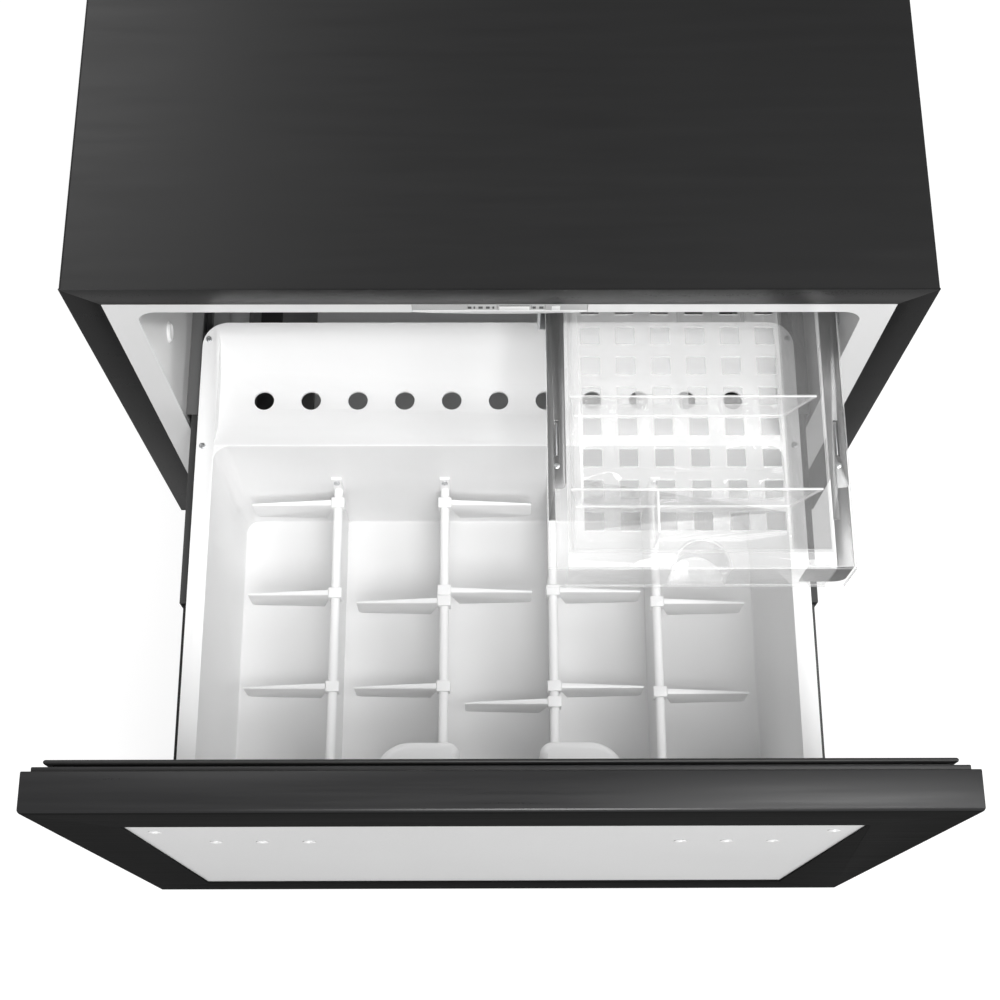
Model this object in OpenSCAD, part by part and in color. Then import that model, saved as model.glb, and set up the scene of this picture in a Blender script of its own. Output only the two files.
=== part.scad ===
// Drawer minibar for a 600 mm furniture unit, shown with its drawer pulled right out.
// Depths are counted from the cabinet's front plane, heights from the floor, in millimetres.
// Pieces that slide are drawn where they sit when shut, then carried out by their travel.

/* [Cabinet] */
// Width over the side sheets
cab_w = 595; // [590:1:620]
// Height of the cabinet without its feet
cab_h = 455; // [450:1:480]
// Depth of the cooling unit's room behind the back plate
unit_room = 65; // [60:1:80]
// Thickness of the sheet steel
sheet_t = 1; // [0.7:0.1:1.3]
// Bend radius of the shell along its top edges
shell_r = 2; // [1.5:0.5:4]
// Width of the folded lip round the open rear of the shell
rear_lip = 12; // [8:1:20]
// Face width of the front frame's side rails
frame_side_w = 24; // [22:1:26]
// Face width of the front frame's top and bottom rails
frame_top_w = 22; // [20:1:24]
// Thickness of the front frame's metal
frame_t = 1.2; // [1:0.1:1.5]
// Depth of the front frame's inner return leg
frame_leg = 12; // [8:1:16]
// Height of the levelling feet
foot_h = 10; // [8:1:16]
// Radius of a foot's pad
foot_r = 15; // [12:1:18]
// Distance from a cabinet side to a foot's axis
foot_inset = 34; // [30:1:50]
// Distance from the shell's rear edge to a rear foot's axis
foot_rear = 54; // [50:1:60]
// Radius of a foot's stud
stud_r = 4; // [3:0.5:5]
// Length of a foot's stud
stud_l = 18; // [14:1:20]

/* [Cavity] */
// Width of the liner's flange at the sides
flange_side = 21; // [19:1:23]
// Height of the liner's flange above the mouth
flange_top = 12; // [11:1:14]
// Height of the liner's flange below the mouth
flange_bottom = 20; // [18:1:24]
// Depth of the cavity
cavity_d = 400; // [398:1:410]
// Corner radius of the cavity
cavity_r = 14; // [10:1:16]
// Thickness of the liner
liner_t = 2; // [1.5:0.1:2.5]
// Thickness of the foam behind the cavity
rear_foam = 43; // [38:1:46]

/* [Control unit] */
// Width of the control unit over the mouth
ctrl_w = 121; // [118:1:124]
// Depth of the control unit behind the front plane
ctrl_d = 24; // [23:1:26]
// How far its lamp side bows below the cavity's ceiling
ctrl_belly = 3; // [2:0.5:3.5]
// Wall of its housing
ctrl_wall = 1.5; // [1.2:0.1:1.6]
// Length of the lamp's lens
lens_l = 96; // [90:1:98]
// Width of the lamp's lens
lens_w = 14; // [12:1:15]
// Width of the temperature button
temperature_w = 20; // [16:1:22]
// Width of the lamp button
lamp_w = 9; // [8:1:12]

/* [Drawer front] */
// Gap between the drawer front's edge and the cabinet's side
front_gap_x = 4.5; // [3:0.5:6]
// Gap between the drawer front's edge and the cabinet's top or base
front_gap_z = 3.5; // [2:0.5:5]
// Thickness of the front's frame
front_t = 26; // [24:1:30]
// Face width of the front's frame
front_rail_w = 50; // [45:1:55]
// How much wider the front's top rail and right rail are
front_wide = 8; // [0:1:8]
// Wall of the front's frame
front_wall = 2; // [1.5:0.1:2.5]
// Radius of the frame's outer front edge
front_r = 3; // [2.5:0.5:5]
// How far the grey sheet reaches under the frame's lip
sheet_tuck = 10; // [6:1:14]
// Step from the frame's edge in to the inner plate's edge
plate_step = 5; // [3:0.5:7]
// Thickness of the inner plate
plate_t = 3.5; // [3:0.5:5]
// Step from the frame's edge in to the gasket
gasket_step = 10.5; // [9:0.5:12]
// Thickness of the gasket
gasket_t = 5.5; // [5:0.5:7]
// Width of the gasket
gasket_w = 16.5; // [16:0.5:18]
// Travel of the drawer
drawer_out = 314; // [300:1:318]
// Radius of an anchor in the grey sheet
anchor_r = 4; // [3:0.5:5]
// Radius of an anchor's screw hole
anchor_hole_r = 1.8; // [1.5:0.1:2.2]
// Length of an anchor
anchor_l = 12; // [8:1:16]
// Furniture hole pitch that the anchors follow
hole_pitch = 32; // [32:1:32]
// Drop of the outer anchors below the frame's inner edge
anchor_top = 36.5; // [32:0.5:44]
// Drop of the row of anchors below that edge
anchor_row = 87.5; // [82:0.5:96]

/* [Bin] */
// Height of the bin over its rim
bin_h = 189; // [180:1:192]
// Gap between the cavity floor and the bin
bin_lift = 9; // [8:1:12]
// Wall of the bin
bin_t = 2.2; // [1.8:0.1:2.6]
// Width of the rim at the sides
rim_w = 14; // [13:1:15]
// Gap between the cavity's rear and the bin
bin_rear = 7; // [6:1:10]
// Length of the air shelf from the ridge to the bin's rear edge
shelf_l = 108; // [104:1:112]
// Radius of the rim's rear corners
rim_r = 20; // [14:1:24]
// Radius of the tub's upright corners
tub_r = 12; // [8:1:14]
// Depth of the rear air shelf below the rim
shelf_drop = 14; // [10:1:18]
// Length of each slope of the air shelf
shelf_slope = 24; // [20:1:26]
// Width of the rim behind the air shelf
rear_rim = 12; // [10:1:14]
// Number of air holes
air_holes = 11; // [7:2:11]
// Pitch of the air holes
air_pitch = 38; // [36:1:40]
// Radius of an air hole
air_r = 8; // [6:0.5:9]
// Height of the bosses behind the bin's front wall
hump_h = 40; // [34:1:46]
// Reach of the bosses into the bin
hump_l = 47; // [42:1:50]
// Width of a boss
hump_w = 64; // [60:1:68]

/* [Rods and dividers] */
// Radius of a divider rod
rod_r = 3.75; // [3:0.25:4]
// Height of the rim above the rods
rod_drop = 98; // [90:1:104]
// Thickness of the wall that carries a rod
wall_t = 2; // [1.6:0.1:2.4]
// Shift of the right-hand rod towards the middle
rod_in = 4.5; // [0:0.5:5]
// Running gap round a rod
rod_gap = 0.1; // [0.05:0.01:0.1]
// Length of a divider's blade from the rod's axis
blade_l = 73; // [66:1:75]
// Height of a divider's blade below the rod's axis
blade_h = 30; // [24:1:34]
// Thickness of a blade at its root
blade_root = 5; // [4:0.5:6]
// Thickness of a blade at its tip
blade_tip = 1.8; // [1.5:0.1:2.5]
// Length of a divider's clip along its rod
clip_l = 8.8; // [8:0.1:8.9]
// Width of a divider's clip across its rod
clip_w = 11; // [10.5:0.1:11.5]
// Drop of a blade's upper edge from its root to its tip
tip_drop = 6; // [4:0.5:8]
// Height of a rod's screw tab above the rod's axis
tab_h = 26; // [22:1:30]
// Width of a rod's tab
tab_w = 8; // [7:0.5:10]

/* [Clear tray] */
// Width of the tray over its flanges
tray_w = 216; // [212:1:220]
// Room between the tray and the cavity's rear
tray_rear = 78; // [74:1:84]
// Height of the tray
tray_h = 45; // [40:1:50]
// Wall of the tray
tray_t = 2; // [1.6:0.1:2.4]
// Gap between the cavity's ceiling and the tray
tray_drop = 67; // [60:1:74]
// Width of the tray's flanges
tray_flange = 14; // [14:1:15]
// Travel of the tray
tray_out = 170; // [150:1:172]
// Side of a square hole in the tray's floor
grid_hole = 14; // [10:1:16]
// Pitch of the holes across the tray
grid_x = 26.8; // [25:0.1:27]
// Pitch of the holes along the tray
grid_y = 25; // [24:0.5:26]
// Distance from the tray's front to its first row of holes
grid_front = 43; // [40:1:46]
// Lean of the bowl's left wall
left_lean = 6; // [4:1:8]
// Lean of the bowl's right wall
right_lean = 20; // [18:1:21]
// Lean of the bowl's front wall
front_lean = 14; // [12:1:16]
// Radius of the finger scoop
grip_r = 19; // [16:1:20]
// Length of a hanger along its rail
hanger_l = 30; // [24:1:36]

/* [Slides] */
// Room for a drawer slide between bin and cavity wall
slide_room = 12.5; // [12:0.5:13]
// Height of a drawer slide
slide_h = 45; // [42:1:46]
// Height of the rim above the slide's middle
slide_drop = 36; // [34:1:40]
// Metal of the slides
slide_t = 1.2; // [1:0.1:1.4]
// Width of a tray rail
rail_w = 13; // [12.6:0.1:13.2]
// Height of a tray rail's fixed member
rail_h = 10; // [9:0.5:11]

/* [Cooling unit] */
// Width of the finned evaporator
evap_w = 320; // [280:10:330]
// Height of the finned evaporator
evap_h = 150; // [140:5:155]
// Depth of the finned evaporator
evap_d = 55; // [45:1:56]
// Pitch of its fins
fin_pitch = 12; // [10:1:16]
// Radius of the absorber's tubes
coil_r = 9; // [7:0.5:10]
// Pitch of the absorber's tubes
coil_pitch = 34; // [30:1:36]
// Number of the absorber's tubes
coil_tubes = 4; // [2:2:4]
// Radius of the absorber's tank
tank_r = 22; // [18:1:24]
// Length of the absorber's tank
tank_l = 350; // [330:5:360]
// Radius of the boiler's jacket
boiler_r = 22; // [18:1:24]
// Length of the boiler's jacket
boiler_l = 260; // [240:5:270]
// Radius of the small pipes
pipe_r = 6; // [5:0.5:7]
// Number of the condenser's fins
cond_fins = 22; // [16:1:24]
// Width over the condenser's fins
cond_w = 300; // [280:5:310]
// Depth of a condenser fin
cond_fin_d = 44; // [40:1:48]
// Height of a condenser fin
cond_fin_h = 52; // [46:1:56]
// Width of a bracket's strap
strap_w = 16; // [12:1:20]

/* [Hidden] */
$fn = 64;
black = [0.14, 0.14, 0.145];
steel = [0.62, 0.63, 0.64];
dark_steel = [0.1, 0.1, 0.1];
white = [0.95, 0.95, 0.94];
clear = [0.86, 0.92, 0.94, 0.4];
grey = [0.8, 0.8, 0.8];
foam_tan = [0.93, 0.86, 0.68];
rubber = [0.08, 0.08, 0.08];
alu = [0.78, 0.79, 0.8];
green = [0.1, 0.4, 0.2];

// Overlap of a cut beyond the piece that it cuts
cut = 1;
// Gap round a piece that stands in another piece's opening
fit_gap = 0.2;
top_z = foot_h + cab_h;
half_w = cab_w / 2;
front_d = front_t + plate_t + gasket_t;
back_y = cavity_d + liner_t + rear_foam;
cab_d = back_y + unit_room;
front_y = (drawer_out + front_d - cab_d) / 2;
cav_x = half_w - frame_side_w - flange_side;
cav_z0 = foot_h + frame_top_w + flange_bottom;
cav_z1 = top_z - frame_top_w - flange_top;

face_x = half_w - front_gap_x;
face_z0 = foot_h + front_gap_z;
face_z1 = top_z - front_gap_z;
face_y = -front_d;
front_back = face_y + front_t;
// Opening in the front's frame
open_x = [front_rail_w - face_x, face_x - front_rail_w - front_wide];
open_z = [face_z0 + front_rail_w, face_z1 - front_rail_w - front_wide];
sheet_x = open_x + [-sheet_tuck, sheet_tuck];
sheet_z = open_z + [-sheet_tuck, sheet_tuck];
sheet_y = face_y + front_wall;
sheet_thick = 0.8;
// Gap between the cavity's floor or ceiling and the plug on the inner plate
plug_gap = 8;
// Anchors: the outermost pair, and below it the three next pairs, in steps of the pitch
anchor_last = floor(((open_x[1] - open_x[0]) / 2 - 3 * anchor_r) / hole_pitch);
anchors = concat([[anchor_last, anchor_top]], [for (i = [1 : 3]) [anchor_last - i, anchor_row]]);

ctrl_x = ctrl_w / 2;
ctrl_y = [0.3, ctrl_d];
ctrl_z1 = cav_z1 + flange_top - 0.5;
lens_x = lens_l / 2;
lens_y = [7, 7 + lens_w];
button_t = 3;
button_gap = 0.3;
button_rim = 0.8;
buttons = [[-temperature_w - 2, -2], [22, 22 + lamp_w]];
button_z = [cav_z1 + 3.5, cav_z1 + 9.5];
evap_pipe = [[-130, cav_z0 + 150], [130, cav_z0 + 40]];
plug_y = [37, 37 + 8 * hole_pitch];

bin_x = cav_x - slide_room;
bin_y0 = 2;
bin_z0 = cav_z0 + bin_lift;
rim_z = bin_z0 + bin_h;
in_x = bin_x - rim_w;
in_y0 = bin_y0 + 2 * bin_t;
bin_y1 = cavity_d - bin_rear;
ridge_y = bin_y1 - shelf_l;
shelf_z = rim_z - shelf_drop;
shelf_y0 = ridge_y + shelf_slope;
shelf_y1 = bin_y1 - rear_rim - shelf_slope;
air_y = shelf_y0 + 21;
hump_x = 30;
hump_r = [9, 27];
rim_screw_r = 1.5;

bays = 5;
rod_pitch = 2 * in_x / bays;
rod_z = rim_z - rod_drop;
rod_x = [for (i = [1 : bays - 1]) (i - bays / 2) * rod_pitch - (i == bays - 1 ? rod_in : 0)];
wall_gap = 0.3;
tab_t = 2;
tab_foot = 5;
tab_hole_r = 1.4;
tab_hole_drop = 8;
// Each divider's rod, its side of the rod and its distance in front of the ridge
dividers = [
    [0, -1, 15], [0, -1, 94], [0, -1, 173],
    [1, 1, 15], [1, 1, 92], [1, -1, 101], [1, -1, 173],
    [2, 1, 92], [2, 1, 173], [2, -1, 186],
    [3, 1, 102], [3, 1, 178]
];
divider_count = len(dividers);

slide_z = rim_z - slide_drop;
slide_y0 = 4;
slide_y1 = cavity_d - 10;
slide_lip = 4;
mid_h = slide_h - 9;
inner_h = slide_h - 18;
ball_r = (slide_h / 2 - slide_t - mid_h / 2 - 0.3) / 2;
ball_seat = ball_r - 0.05;
ball_count = 5;
ball_end = 165;
ball_pitch = 14;
carrier_t = 1.2;
carrier_w = 10;

tray_x1 = cav_x - 2.5;
tray_x0 = tray_x1 - tray_w;
tray_z1 = cav_z1 - tray_drop;
tray_z0 = tray_z1 - tray_h;
tray_y0 = 4;
tray_y1 = cavity_d - tray_rear;
tray_rim_t = 2.2;
bowl_y0 = tray_y0 + tray_flange;
bowl_x0 = tray_x0 + tray_flange + tray_t;
bowl_x1 = tray_x1 - tray_flange - tray_t;
grid_x0 = bowl_x0 + 12.6;
grid_rows = floor((tray_y1 - tray_y0 - grid_front) / grid_y);
cross_y = [tray_y0 + 61, tray_y0 + 133];
part_x = bowl_x0 + 62;
rail_x = [tray_x0 + 7, tray_x1 - 0.5 - rail_w / 2];
rail_z1 = tray_z1 - tray_rim_t;
rail_z0 = rail_z1 - rail_h - 2.8;
rail_y0 = 8;
rail_y1 = tray_y1 - 14;
rail_wall = 1.2;
rail_gap = 0.4;
mid_wall = 1;
strip_t = 1.2;
strip_y = [cross_y[0], rail_y1];
hanger_y = [rail_y0 + 18, rail_y1 - 20 - hanger_l];
hanger_t = 2;
grip_x = tray_x0 + 108;

unit_y = back_y + sheet_t;
coil_y = (unit_y + cab_d) / 2;
coil_z0 = foot_h + 94;
coil_x = [-180, 120];
tank_x = [-200, tank_l - 200];
tank_z = foot_h + 52;
boiler_x = 215;
boiler_z = [foot_h + 40, foot_h + 40 + boiler_l];
riser_r = pipe_r + 2;
cond_z = top_z - 60;
cond_x = -140;
// The condenser's pipe turns down behind its fins, close to the back plate
down_x = -165;
down_y = unit_y + 9;
elbow = 25;
strap_x = [down_x + 15, 90];
inlet_x = [35.5 - half_w, 63.5 - half_w];
vent_l = 36;
vent_pitch = 50;
vent_y = [back_y + 0.2 * unit_room, back_y + 0.6 * unit_room];

// Moves what follows from the cabinet's front plane to the part's own origin
module from_front() { translate([0, front_y, 0]) children(); }
module on_drawer() { translate([0, front_y - drawer_out, 0]) children(); }
module on_slide_mid() { translate([0, front_y - drawer_out / 2, 0]) children(); }
module on_tray() { translate([0, front_y - tray_out, 0]) children(); }
module on_rail_mid() { translate([0, front_y - tray_out / 2, 0]) children(); }

module block(x, y, z) {
    translate([x[0], y[0], z[0]]) cube([x[1] - x[0], y[1] - y[0], z[1] - z[0]]);
}
// Outlines in x and z, run along y
module run_y(y) { translate([0, y[1], 0]) rotate([90, 0, 0]) linear_extrude(y[1] - y[0]) children(); }
// Outlines in y and z, run along x
module run_x(x) { translate([x[0], 0, 0]) rotate([90, 0, 90]) linear_extrude(x[1] - x[0]) children(); }
module rod_y(x, z, r, y) { translate([x, y[1], z]) rotate([90, 0, 0]) cylinder(h = y[1] - y[0], r = r); }
module both_sides() {
    children();
    mirror([1, 0, 0]) children();
}
module rect(x, z) { translate([x[0], z[0]]) square([x[1] - x[0], z[1] - z[0]]); }
module round_rect(x, z, r) {
    rect([x[0] + r, x[1] - r], z);
    rect(x, [z[0] + r, z[1] - r]);
    for (cx = [x[0] + r, x[1] - r], cz = [z[0] + r, z[1] - r]) translate([cx, cz]) circle(r);
}
// Side of a ring whose profile is given as depth and distance in from the outer edge
module ring_side(hw, z, depth, m) {
    intersection() {
        translate([-hw, 0, z[0]]) linear_extrude(z[1] - z[0]) mirror([1, -1]) children();
        run_y(depth) polygon([[-hw, z[0]], [-hw, z[1]], [m - hw, z[1] - m], [m - hw, z[0] + m]]);
    }
}
module ring_end(hw, z, depth, m, up) {
    intersection() {
        run_x([-hw, hw]) translate([0, up ? z[1] : z[0]]) mirror([0, up ? 1 : 0]) children();
        run_y(depth) polygon(up
            ? [[-hw, z[1]], [hw, z[1]], [hw - m, z[1] - m], [m - hw, z[1] - m]]
            : [[-hw, z[0]], [hw, z[0]], [hw - m, z[0] + m], [m - hw, z[0] + m]]);
    }
}
module mitred_ring(hw, z, depth, m) {
    both_sides() ring_side(hw, z, depth, m) children();
    ring_end(hw, z, depth, m, true) children();
    ring_end(hw, z, depth, m, false) children();
}
// Round pipe through a list of points, with flat ends
module pipe(points, r) {
    for (i = [0 : len(points) - 2]) {
        step = points[i + 1] - points[i];
        translate(points[i]) rotate([0, acos(step[2] / norm(step)), atan2(step[1], step[0])])
            cylinder(h = norm(step), r = r);
    }
    if (len(points) > 2) for (i = [1 : len(points) - 2]) translate(points[i]) sphere(r);
}
module pan_screw(r, h, shank_r, shank_l) {
    rotate_extrude() polygon([[0, -shank_l], [shank_r, -shank_l], [shank_r, 0], [r, 0], [r, h * 0.5], [r * 0.6, h],
        [r * 0.25, h], [r * 0.25, h * 0.5], [0, h * 0.5]]);
}

// Cabinet

module shell_outline(inset) {
    x = half_w - inset;
    r = shell_r - inset;
    z1 = top_z - inset;
    rect([-x, x], [foot_h + inset, z1 - r]);
    rect([r - x, x - r], [foot_h + inset, z1]);
    for (s = [-1, 1]) translate([s * (x - r), z1 - r]) circle(r);
}
module outer_shell() {
    color(black) from_front() {
        run_y([frame_t, cab_d]) difference() {
            shell_outline(0);
            shell_outline(sheet_t);
            rect([sheet_t - half_w, half_w - sheet_t], [0, foot_h + 2 * sheet_t]);
        }
        run_y([cab_d - sheet_t, cab_d]) difference() {
            shell_outline(0);
            rect([rear_lip - half_w, half_w - rear_lip], [0, top_z - rear_lip]);
            rect([sheet_t - half_w, half_w - sheet_t], [0, foot_h + 2 * sheet_t]);
        }
    }
}
module frame_ring() {
    in_x = half_w - frame_side_w;
    in_z = [foot_h + frame_top_w, top_z - frame_top_w];
    run_y([0, frame_t]) difference() {
        rect([-half_w, half_w], [foot_h, top_z]);
        rect([-in_x, in_x], in_z);
    }
    run_y([0, frame_leg]) difference() {
        rect([-in_x - frame_t, in_x + frame_t], [in_z[0] - frame_t, in_z[1] + frame_t]);
        rect([-in_x, in_x], in_z);
    }
}
module frame_side() {
    x = half_w - frame_side_w;
    z = [foot_h + frame_top_w, top_z - frame_top_w];
    intersection() {
        frame_ring();
        run_y([0, frame_leg]) polygon([[half_w, foot_h], [half_w, top_z], [x, z[1]], [x, z[0]]]);
    }
}
module frame_end(edge_z, in_z) {
    x = half_w - frame_side_w;
    intersection() {
        frame_ring();
        run_y([0, frame_leg]) polygon([[-half_w, edge_z], [half_w, edge_z], [x, in_z], [-x, in_z]]);
    }
}
module front_frame_left() { color(black) from_front() mirror([1, 0, 0]) frame_side(); }
module front_frame_right() { color(black) from_front() frame_side(); }
module front_frame_top() { color(black) from_front() frame_end(top_z, top_z - frame_top_w); }
module front_frame_bottom() { color(black) from_front() frame_end(foot_h, foot_h + frame_top_w); }

// Control unit's room in the liner and the foam
module control_room() {
    block([-ctrl_x - fit_gap, ctrl_x + fit_gap], [-cut, ctrl_y[1] + fit_gap],
        [cav_z1 - liner_t - cut, ctrl_z1 + fit_gap]);
}
module evap_pipe_holes(y) {
    for (p = evap_pipe) rod_y(p[0], p[1], pipe_r + 0.3, y);
}
module liner_body() {
    in_x = half_w - frame_side_w;
    run_y([0, liner_t]) rect([-in_x, in_x], [foot_h + frame_top_w, top_z - frame_top_w]);
    run_y([0, cavity_d + liner_t])
        round_rect([-cav_x - liner_t, cav_x + liner_t], [cav_z0 - liner_t, cav_z1 + liner_t], cavity_r + liner_t);
}
module liner() {
    color(white) from_front() difference() {
        liner_body();
        run_y([-cut, cavity_d]) round_rect([-cav_x, cav_x], [cav_z0, cav_z1], cavity_r);
        control_room();
        evap_pipe_holes([cavity_d - cut, cavity_d + liner_t + cut]);
    }
}
module foot_places() {
    for (s = [-1, 1], y = [foot_inset, cab_d - foot_rear]) translate([s * (half_w - foot_inset), y, 0]) children();
}
module foot_holes(r) {
    foot_places() cylinder(h = foot_h + stud_l + 0.5, r = r);
}
module foam_body() {
    color(foam_tan) from_front() difference() {
        run_y([frame_t, back_y]) intersection() {
            shell_outline(sheet_t);
            rect([-half_w, half_w], [foot_h + sheet_t, top_z]);
        }
        liner_body();
        run_y([0, frame_leg]) {
            in_x = half_w - frame_side_w + frame_t;
            rect([-in_x, in_x], [foot_h + frame_top_w - frame_t, top_z - frame_top_w + frame_t]);
        }
        control_room();
        foot_holes(stud_r + fit_gap);
        evap_pipe_holes([cavity_d, back_y + cut]);
    }
    // Foam between the frame's return leg and the cavity, behind the liner's flange
    color(foam_tan) from_front() difference() {
        in_x = half_w - frame_side_w;
        run_y([liner_t, frame_leg]) rect([-in_x, in_x], [foot_h + frame_top_w, top_z - frame_top_w]);
        liner_body();
        control_room();
    }
}
module base_plate() {
    color(black) from_front() difference() {
        block([sheet_t - half_w, half_w - sheet_t], [frame_t, cab_d - sheet_t], [foot_h, foot_h + sheet_t]);
        foot_holes(stud_r + fit_gap);
        for (i = [-4 : 4]) translate([i * vent_pitch, 0, 0])
            block([-vent_l / 2, vent_l / 2], vent_y, [0, foot_h + 2 * sheet_t]);
    }
}
module levelling_feet() {
    color(rubber) from_front() foot_places() rotate_extrude()
        polygon([[0, 0], [foot_r - 2, 0], [foot_r, 2], [foot_r, foot_h * 0.5], [foot_r * 0.7, foot_h],
            [stud_r, foot_h], [stud_r, foot_h + stud_l], [0, foot_h + stud_l]]);
}
module back_plate() {
    color(steel) from_front() difference() {
        run_y([back_y, back_y + sheet_t]) intersection() {
            shell_outline(sheet_t);
            rect([-half_w, half_w], [foot_h + sheet_t, top_z]);
        }
        evap_pipe_holes([back_y - cut, back_y + sheet_t + cut]);
    }
}

// Control unit in the flange above the mouth

module control_outline(inset) {
    belly_r = (pow(ctrl_x, 2) + pow(ctrl_belly, 2)) / (2 * ctrl_belly);
    intersection() {
        rect([inset - ctrl_x, ctrl_x - inset], [cav_z1 - ctrl_belly - cut, ctrl_z1 - inset]);
        union() {
            rect([-ctrl_x, ctrl_x], [cav_z1, ctrl_z1]);
            translate([0, cav_z1 - ctrl_belly + belly_r]) circle(belly_r - inset, $fn = 720);
        }
    }
}
module lamp_housing() {
    color(white) from_front() difference() {
        run_y(ctrl_y) control_outline(0);
        block([ctrl_wall - ctrl_x, ctrl_x - ctrl_wall], [ctrl_y[0] + ctrl_wall, ctrl_y[1] - ctrl_wall],
            [cav_z1, ctrl_z1 - ctrl_wall]);
        block([-lens_x, lens_x], lens_y, [cav_z1 - ctrl_belly - cut, ctrl_z1 - 2 * ctrl_wall]);
        for (b = buttons) block([b[0] - button_gap, b[1] + button_gap], [-cut, ctrl_y[0] + 2 * ctrl_wall],
            [button_z[0] - button_gap, button_z[1] + button_gap]);
    }
}
module lamp_lens() {
    color([0.9, 0.93, 0.95]) from_front() block([-lens_x, lens_x], lens_y, [cav_z1 - ctrl_belly + 0.6, cav_z1 + 1]);
}
module lamp_board() {
    color(green) from_front() {
        x = [-lens_x - 6, lens_x + 6];
        block(x, [ctrl_y[0] + 4.6, ctrl_y[1] - ctrl_wall], [ctrl_z1 - 4.6, ctrl_z1 - 3]);
        block(x, [ctrl_y[1] - 6, ctrl_y[1] - ctrl_wall], [ctrl_z1 - 3, ctrl_z1 - ctrl_wall]);
        for (i = [-3 : 3]) block([i * 13 - 2, i * 13 + 2], [12, 16], [ctrl_z1 - 5.8, ctrl_z1 - 4.6]);
    }
}
module push_button(x) {
    color(grey) from_front() {
        block(x, [ctrl_y[0] + 0.2, ctrl_y[0] + button_t], button_z);
        block(x + [-button_rim, button_rim], [ctrl_y[0] + ctrl_wall + button_gap, ctrl_y[0] + button_t],
            button_z - [button_rim, 0]);
    }
}
module temperature_button() { push_button(buttons[0]); }
module lamp_button() { push_button(buttons[1]); }

module wall_plugs() {
    color(white) from_front() for (y = plug_y)
        translate([-cav_x, y, tray_z1 - 43]) rotate([0, 90, 0]) rotate_extrude()
            polygon([[0, 0], [8.5, 0], [8.5, 0.8], [6, 2], [0, 2.4]]);
}
module floor_guides() {
    outer = bin_x - 5;
    color(dark_steel) from_front() both_sides() run_y([10, cavity_d - 5]) union() {
        rect([outer - 64, outer], [cav_z0, cav_z0 + 2]);
        rect([outer - 64, outer - 61], [cav_z0, cav_z0 + 6]);
        rect([outer - 31, outer - 11], [cav_z0, cav_z0 + 4]);
        rect([outer - 3, outer], [cav_z0, cav_z0 + 6]);
    }
}

// Cooling unit

// Closed can with chamfered ends, standing on its lower end
module rounded_can(r, l, c) {
    rotate_extrude() polygon([[0, 0], [r - c, 0], [r, c], [r, l - c], [r - c, l], [0, l]]);
}
module evaporator() {
    z = [cav_z0 + 23, cav_z0 + 23 + evap_h];
    color(alu) from_front() {
        block([-evap_w / 2, evap_w / 2], [cavity_d - 3, cavity_d], z);
        for (x = [-evap_w / 2 : fin_pitch : evap_w / 2 - 1])
            block([x, x + 1.2], [cavity_d - evap_d, cavity_d - 3], z);
    }
}
module absorber() {
    tubes = [for (i = [0 : coil_tubes - 1]) for (e = (i % 2 == 0) ? [1, 0] : [0, 1])
        [coil_x[e], coil_y, coil_z0 + i * coil_pitch]];
    coil_top = coil_z0 + (coil_tubes - 1) * coil_pitch;
    color(steel) from_front() {
        translate([tank_x[0], coil_y, tank_z]) rotate([0, 90, 0]) rounded_can(tank_r, tank_l, 5);
        pipe(concat([[coil_x[1], coil_y, tank_z + tank_r - 2]], tubes), coil_r);
        pipe([[coil_x[1], coil_y, coil_top], [evap_pipe[1][0] + 30, coil_y, coil_top],
            [evap_pipe[1][0] + 30, down_y, coil_top], [evap_pipe[1][0] + 30, down_y, evap_pipe[1][1]],
            [evap_pipe[1][0], down_y, evap_pipe[1][1]],
            [evap_pipe[1][0], cavity_d + cut, evap_pipe[1][1]]], pipe_r);
    }
}
module boiler() {
    color(steel) from_front() {
        translate([boiler_x, coil_y, boiler_z[0]]) rounded_can(boiler_r, boiler_l, 3);
        pipe([[tank_x[1], coil_y, tank_z], [boiler_x, coil_y, tank_z]], pipe_r);
        pipe([[boiler_x, coil_y, boiler_z[1] - cut], [boiler_x, coil_y, cond_z - elbow]], riser_r);
    }
}
module condenser() {
    fin_step = cond_w / cond_fins;
    color(alu) from_front() {
        pipe([[boiler_x, coil_y, cond_z - elbow], [boiler_x, coil_y, cond_z], [down_x, coil_y, cond_z],
            [down_x, down_y, cond_z], [down_x, down_y, evap_pipe[0][1]], [evap_pipe[0][0], down_y, evap_pipe[0][1]],
            [evap_pipe[0][0], cavity_d + cut, evap_pipe[0][1]]], pipe_r);
        for (i = [0 : cond_fins - 1]) translate([cond_x + i * fin_step, coil_y, cond_z])
            block([0, sheet_t], [-cond_fin_d / 2, cond_fin_d / 2], [-cond_fin_h / 2, cond_fin_h / 2]);
    }
}
module unit_brackets() {
    color(dark_steel) from_front() for (x = strap_x) {
        strap = [x, x + strap_w];
        z = [foot_h + 80, coil_z0 + coil_tubes * coil_pitch + 6];
        block(strap, [coil_y - coil_r - 3, coil_y - coil_r], z);
        block(strap, [unit_y, coil_y - coil_r], [z[0], z[0] + 3]);
        block(strap, [unit_y, coil_y - coil_r], [z[1] - 3, z[1]]);
    }
}
module mains_inlet() {
    x = inlet_x;
    z = [foot_h + 40, foot_h + 60];
    color(rubber) from_front() {
        difference() {
            block(x, [unit_y, unit_y + 24], z);
            block([x[0] + 2.5, x[1] - 2.5], [unit_y + 8, unit_y + 24 + cut], [z[0] + 2.5, z[1] - 2.5]);
        }
        for (pin = [-7, 0, 7]) translate([(x[0] + x[1]) / 2 + pin, unit_y, (z[0] + z[1]) / 2])
            block([-1, 1], [8, 20], [-2, 2]);
    }
}

// Drawer slides

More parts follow.
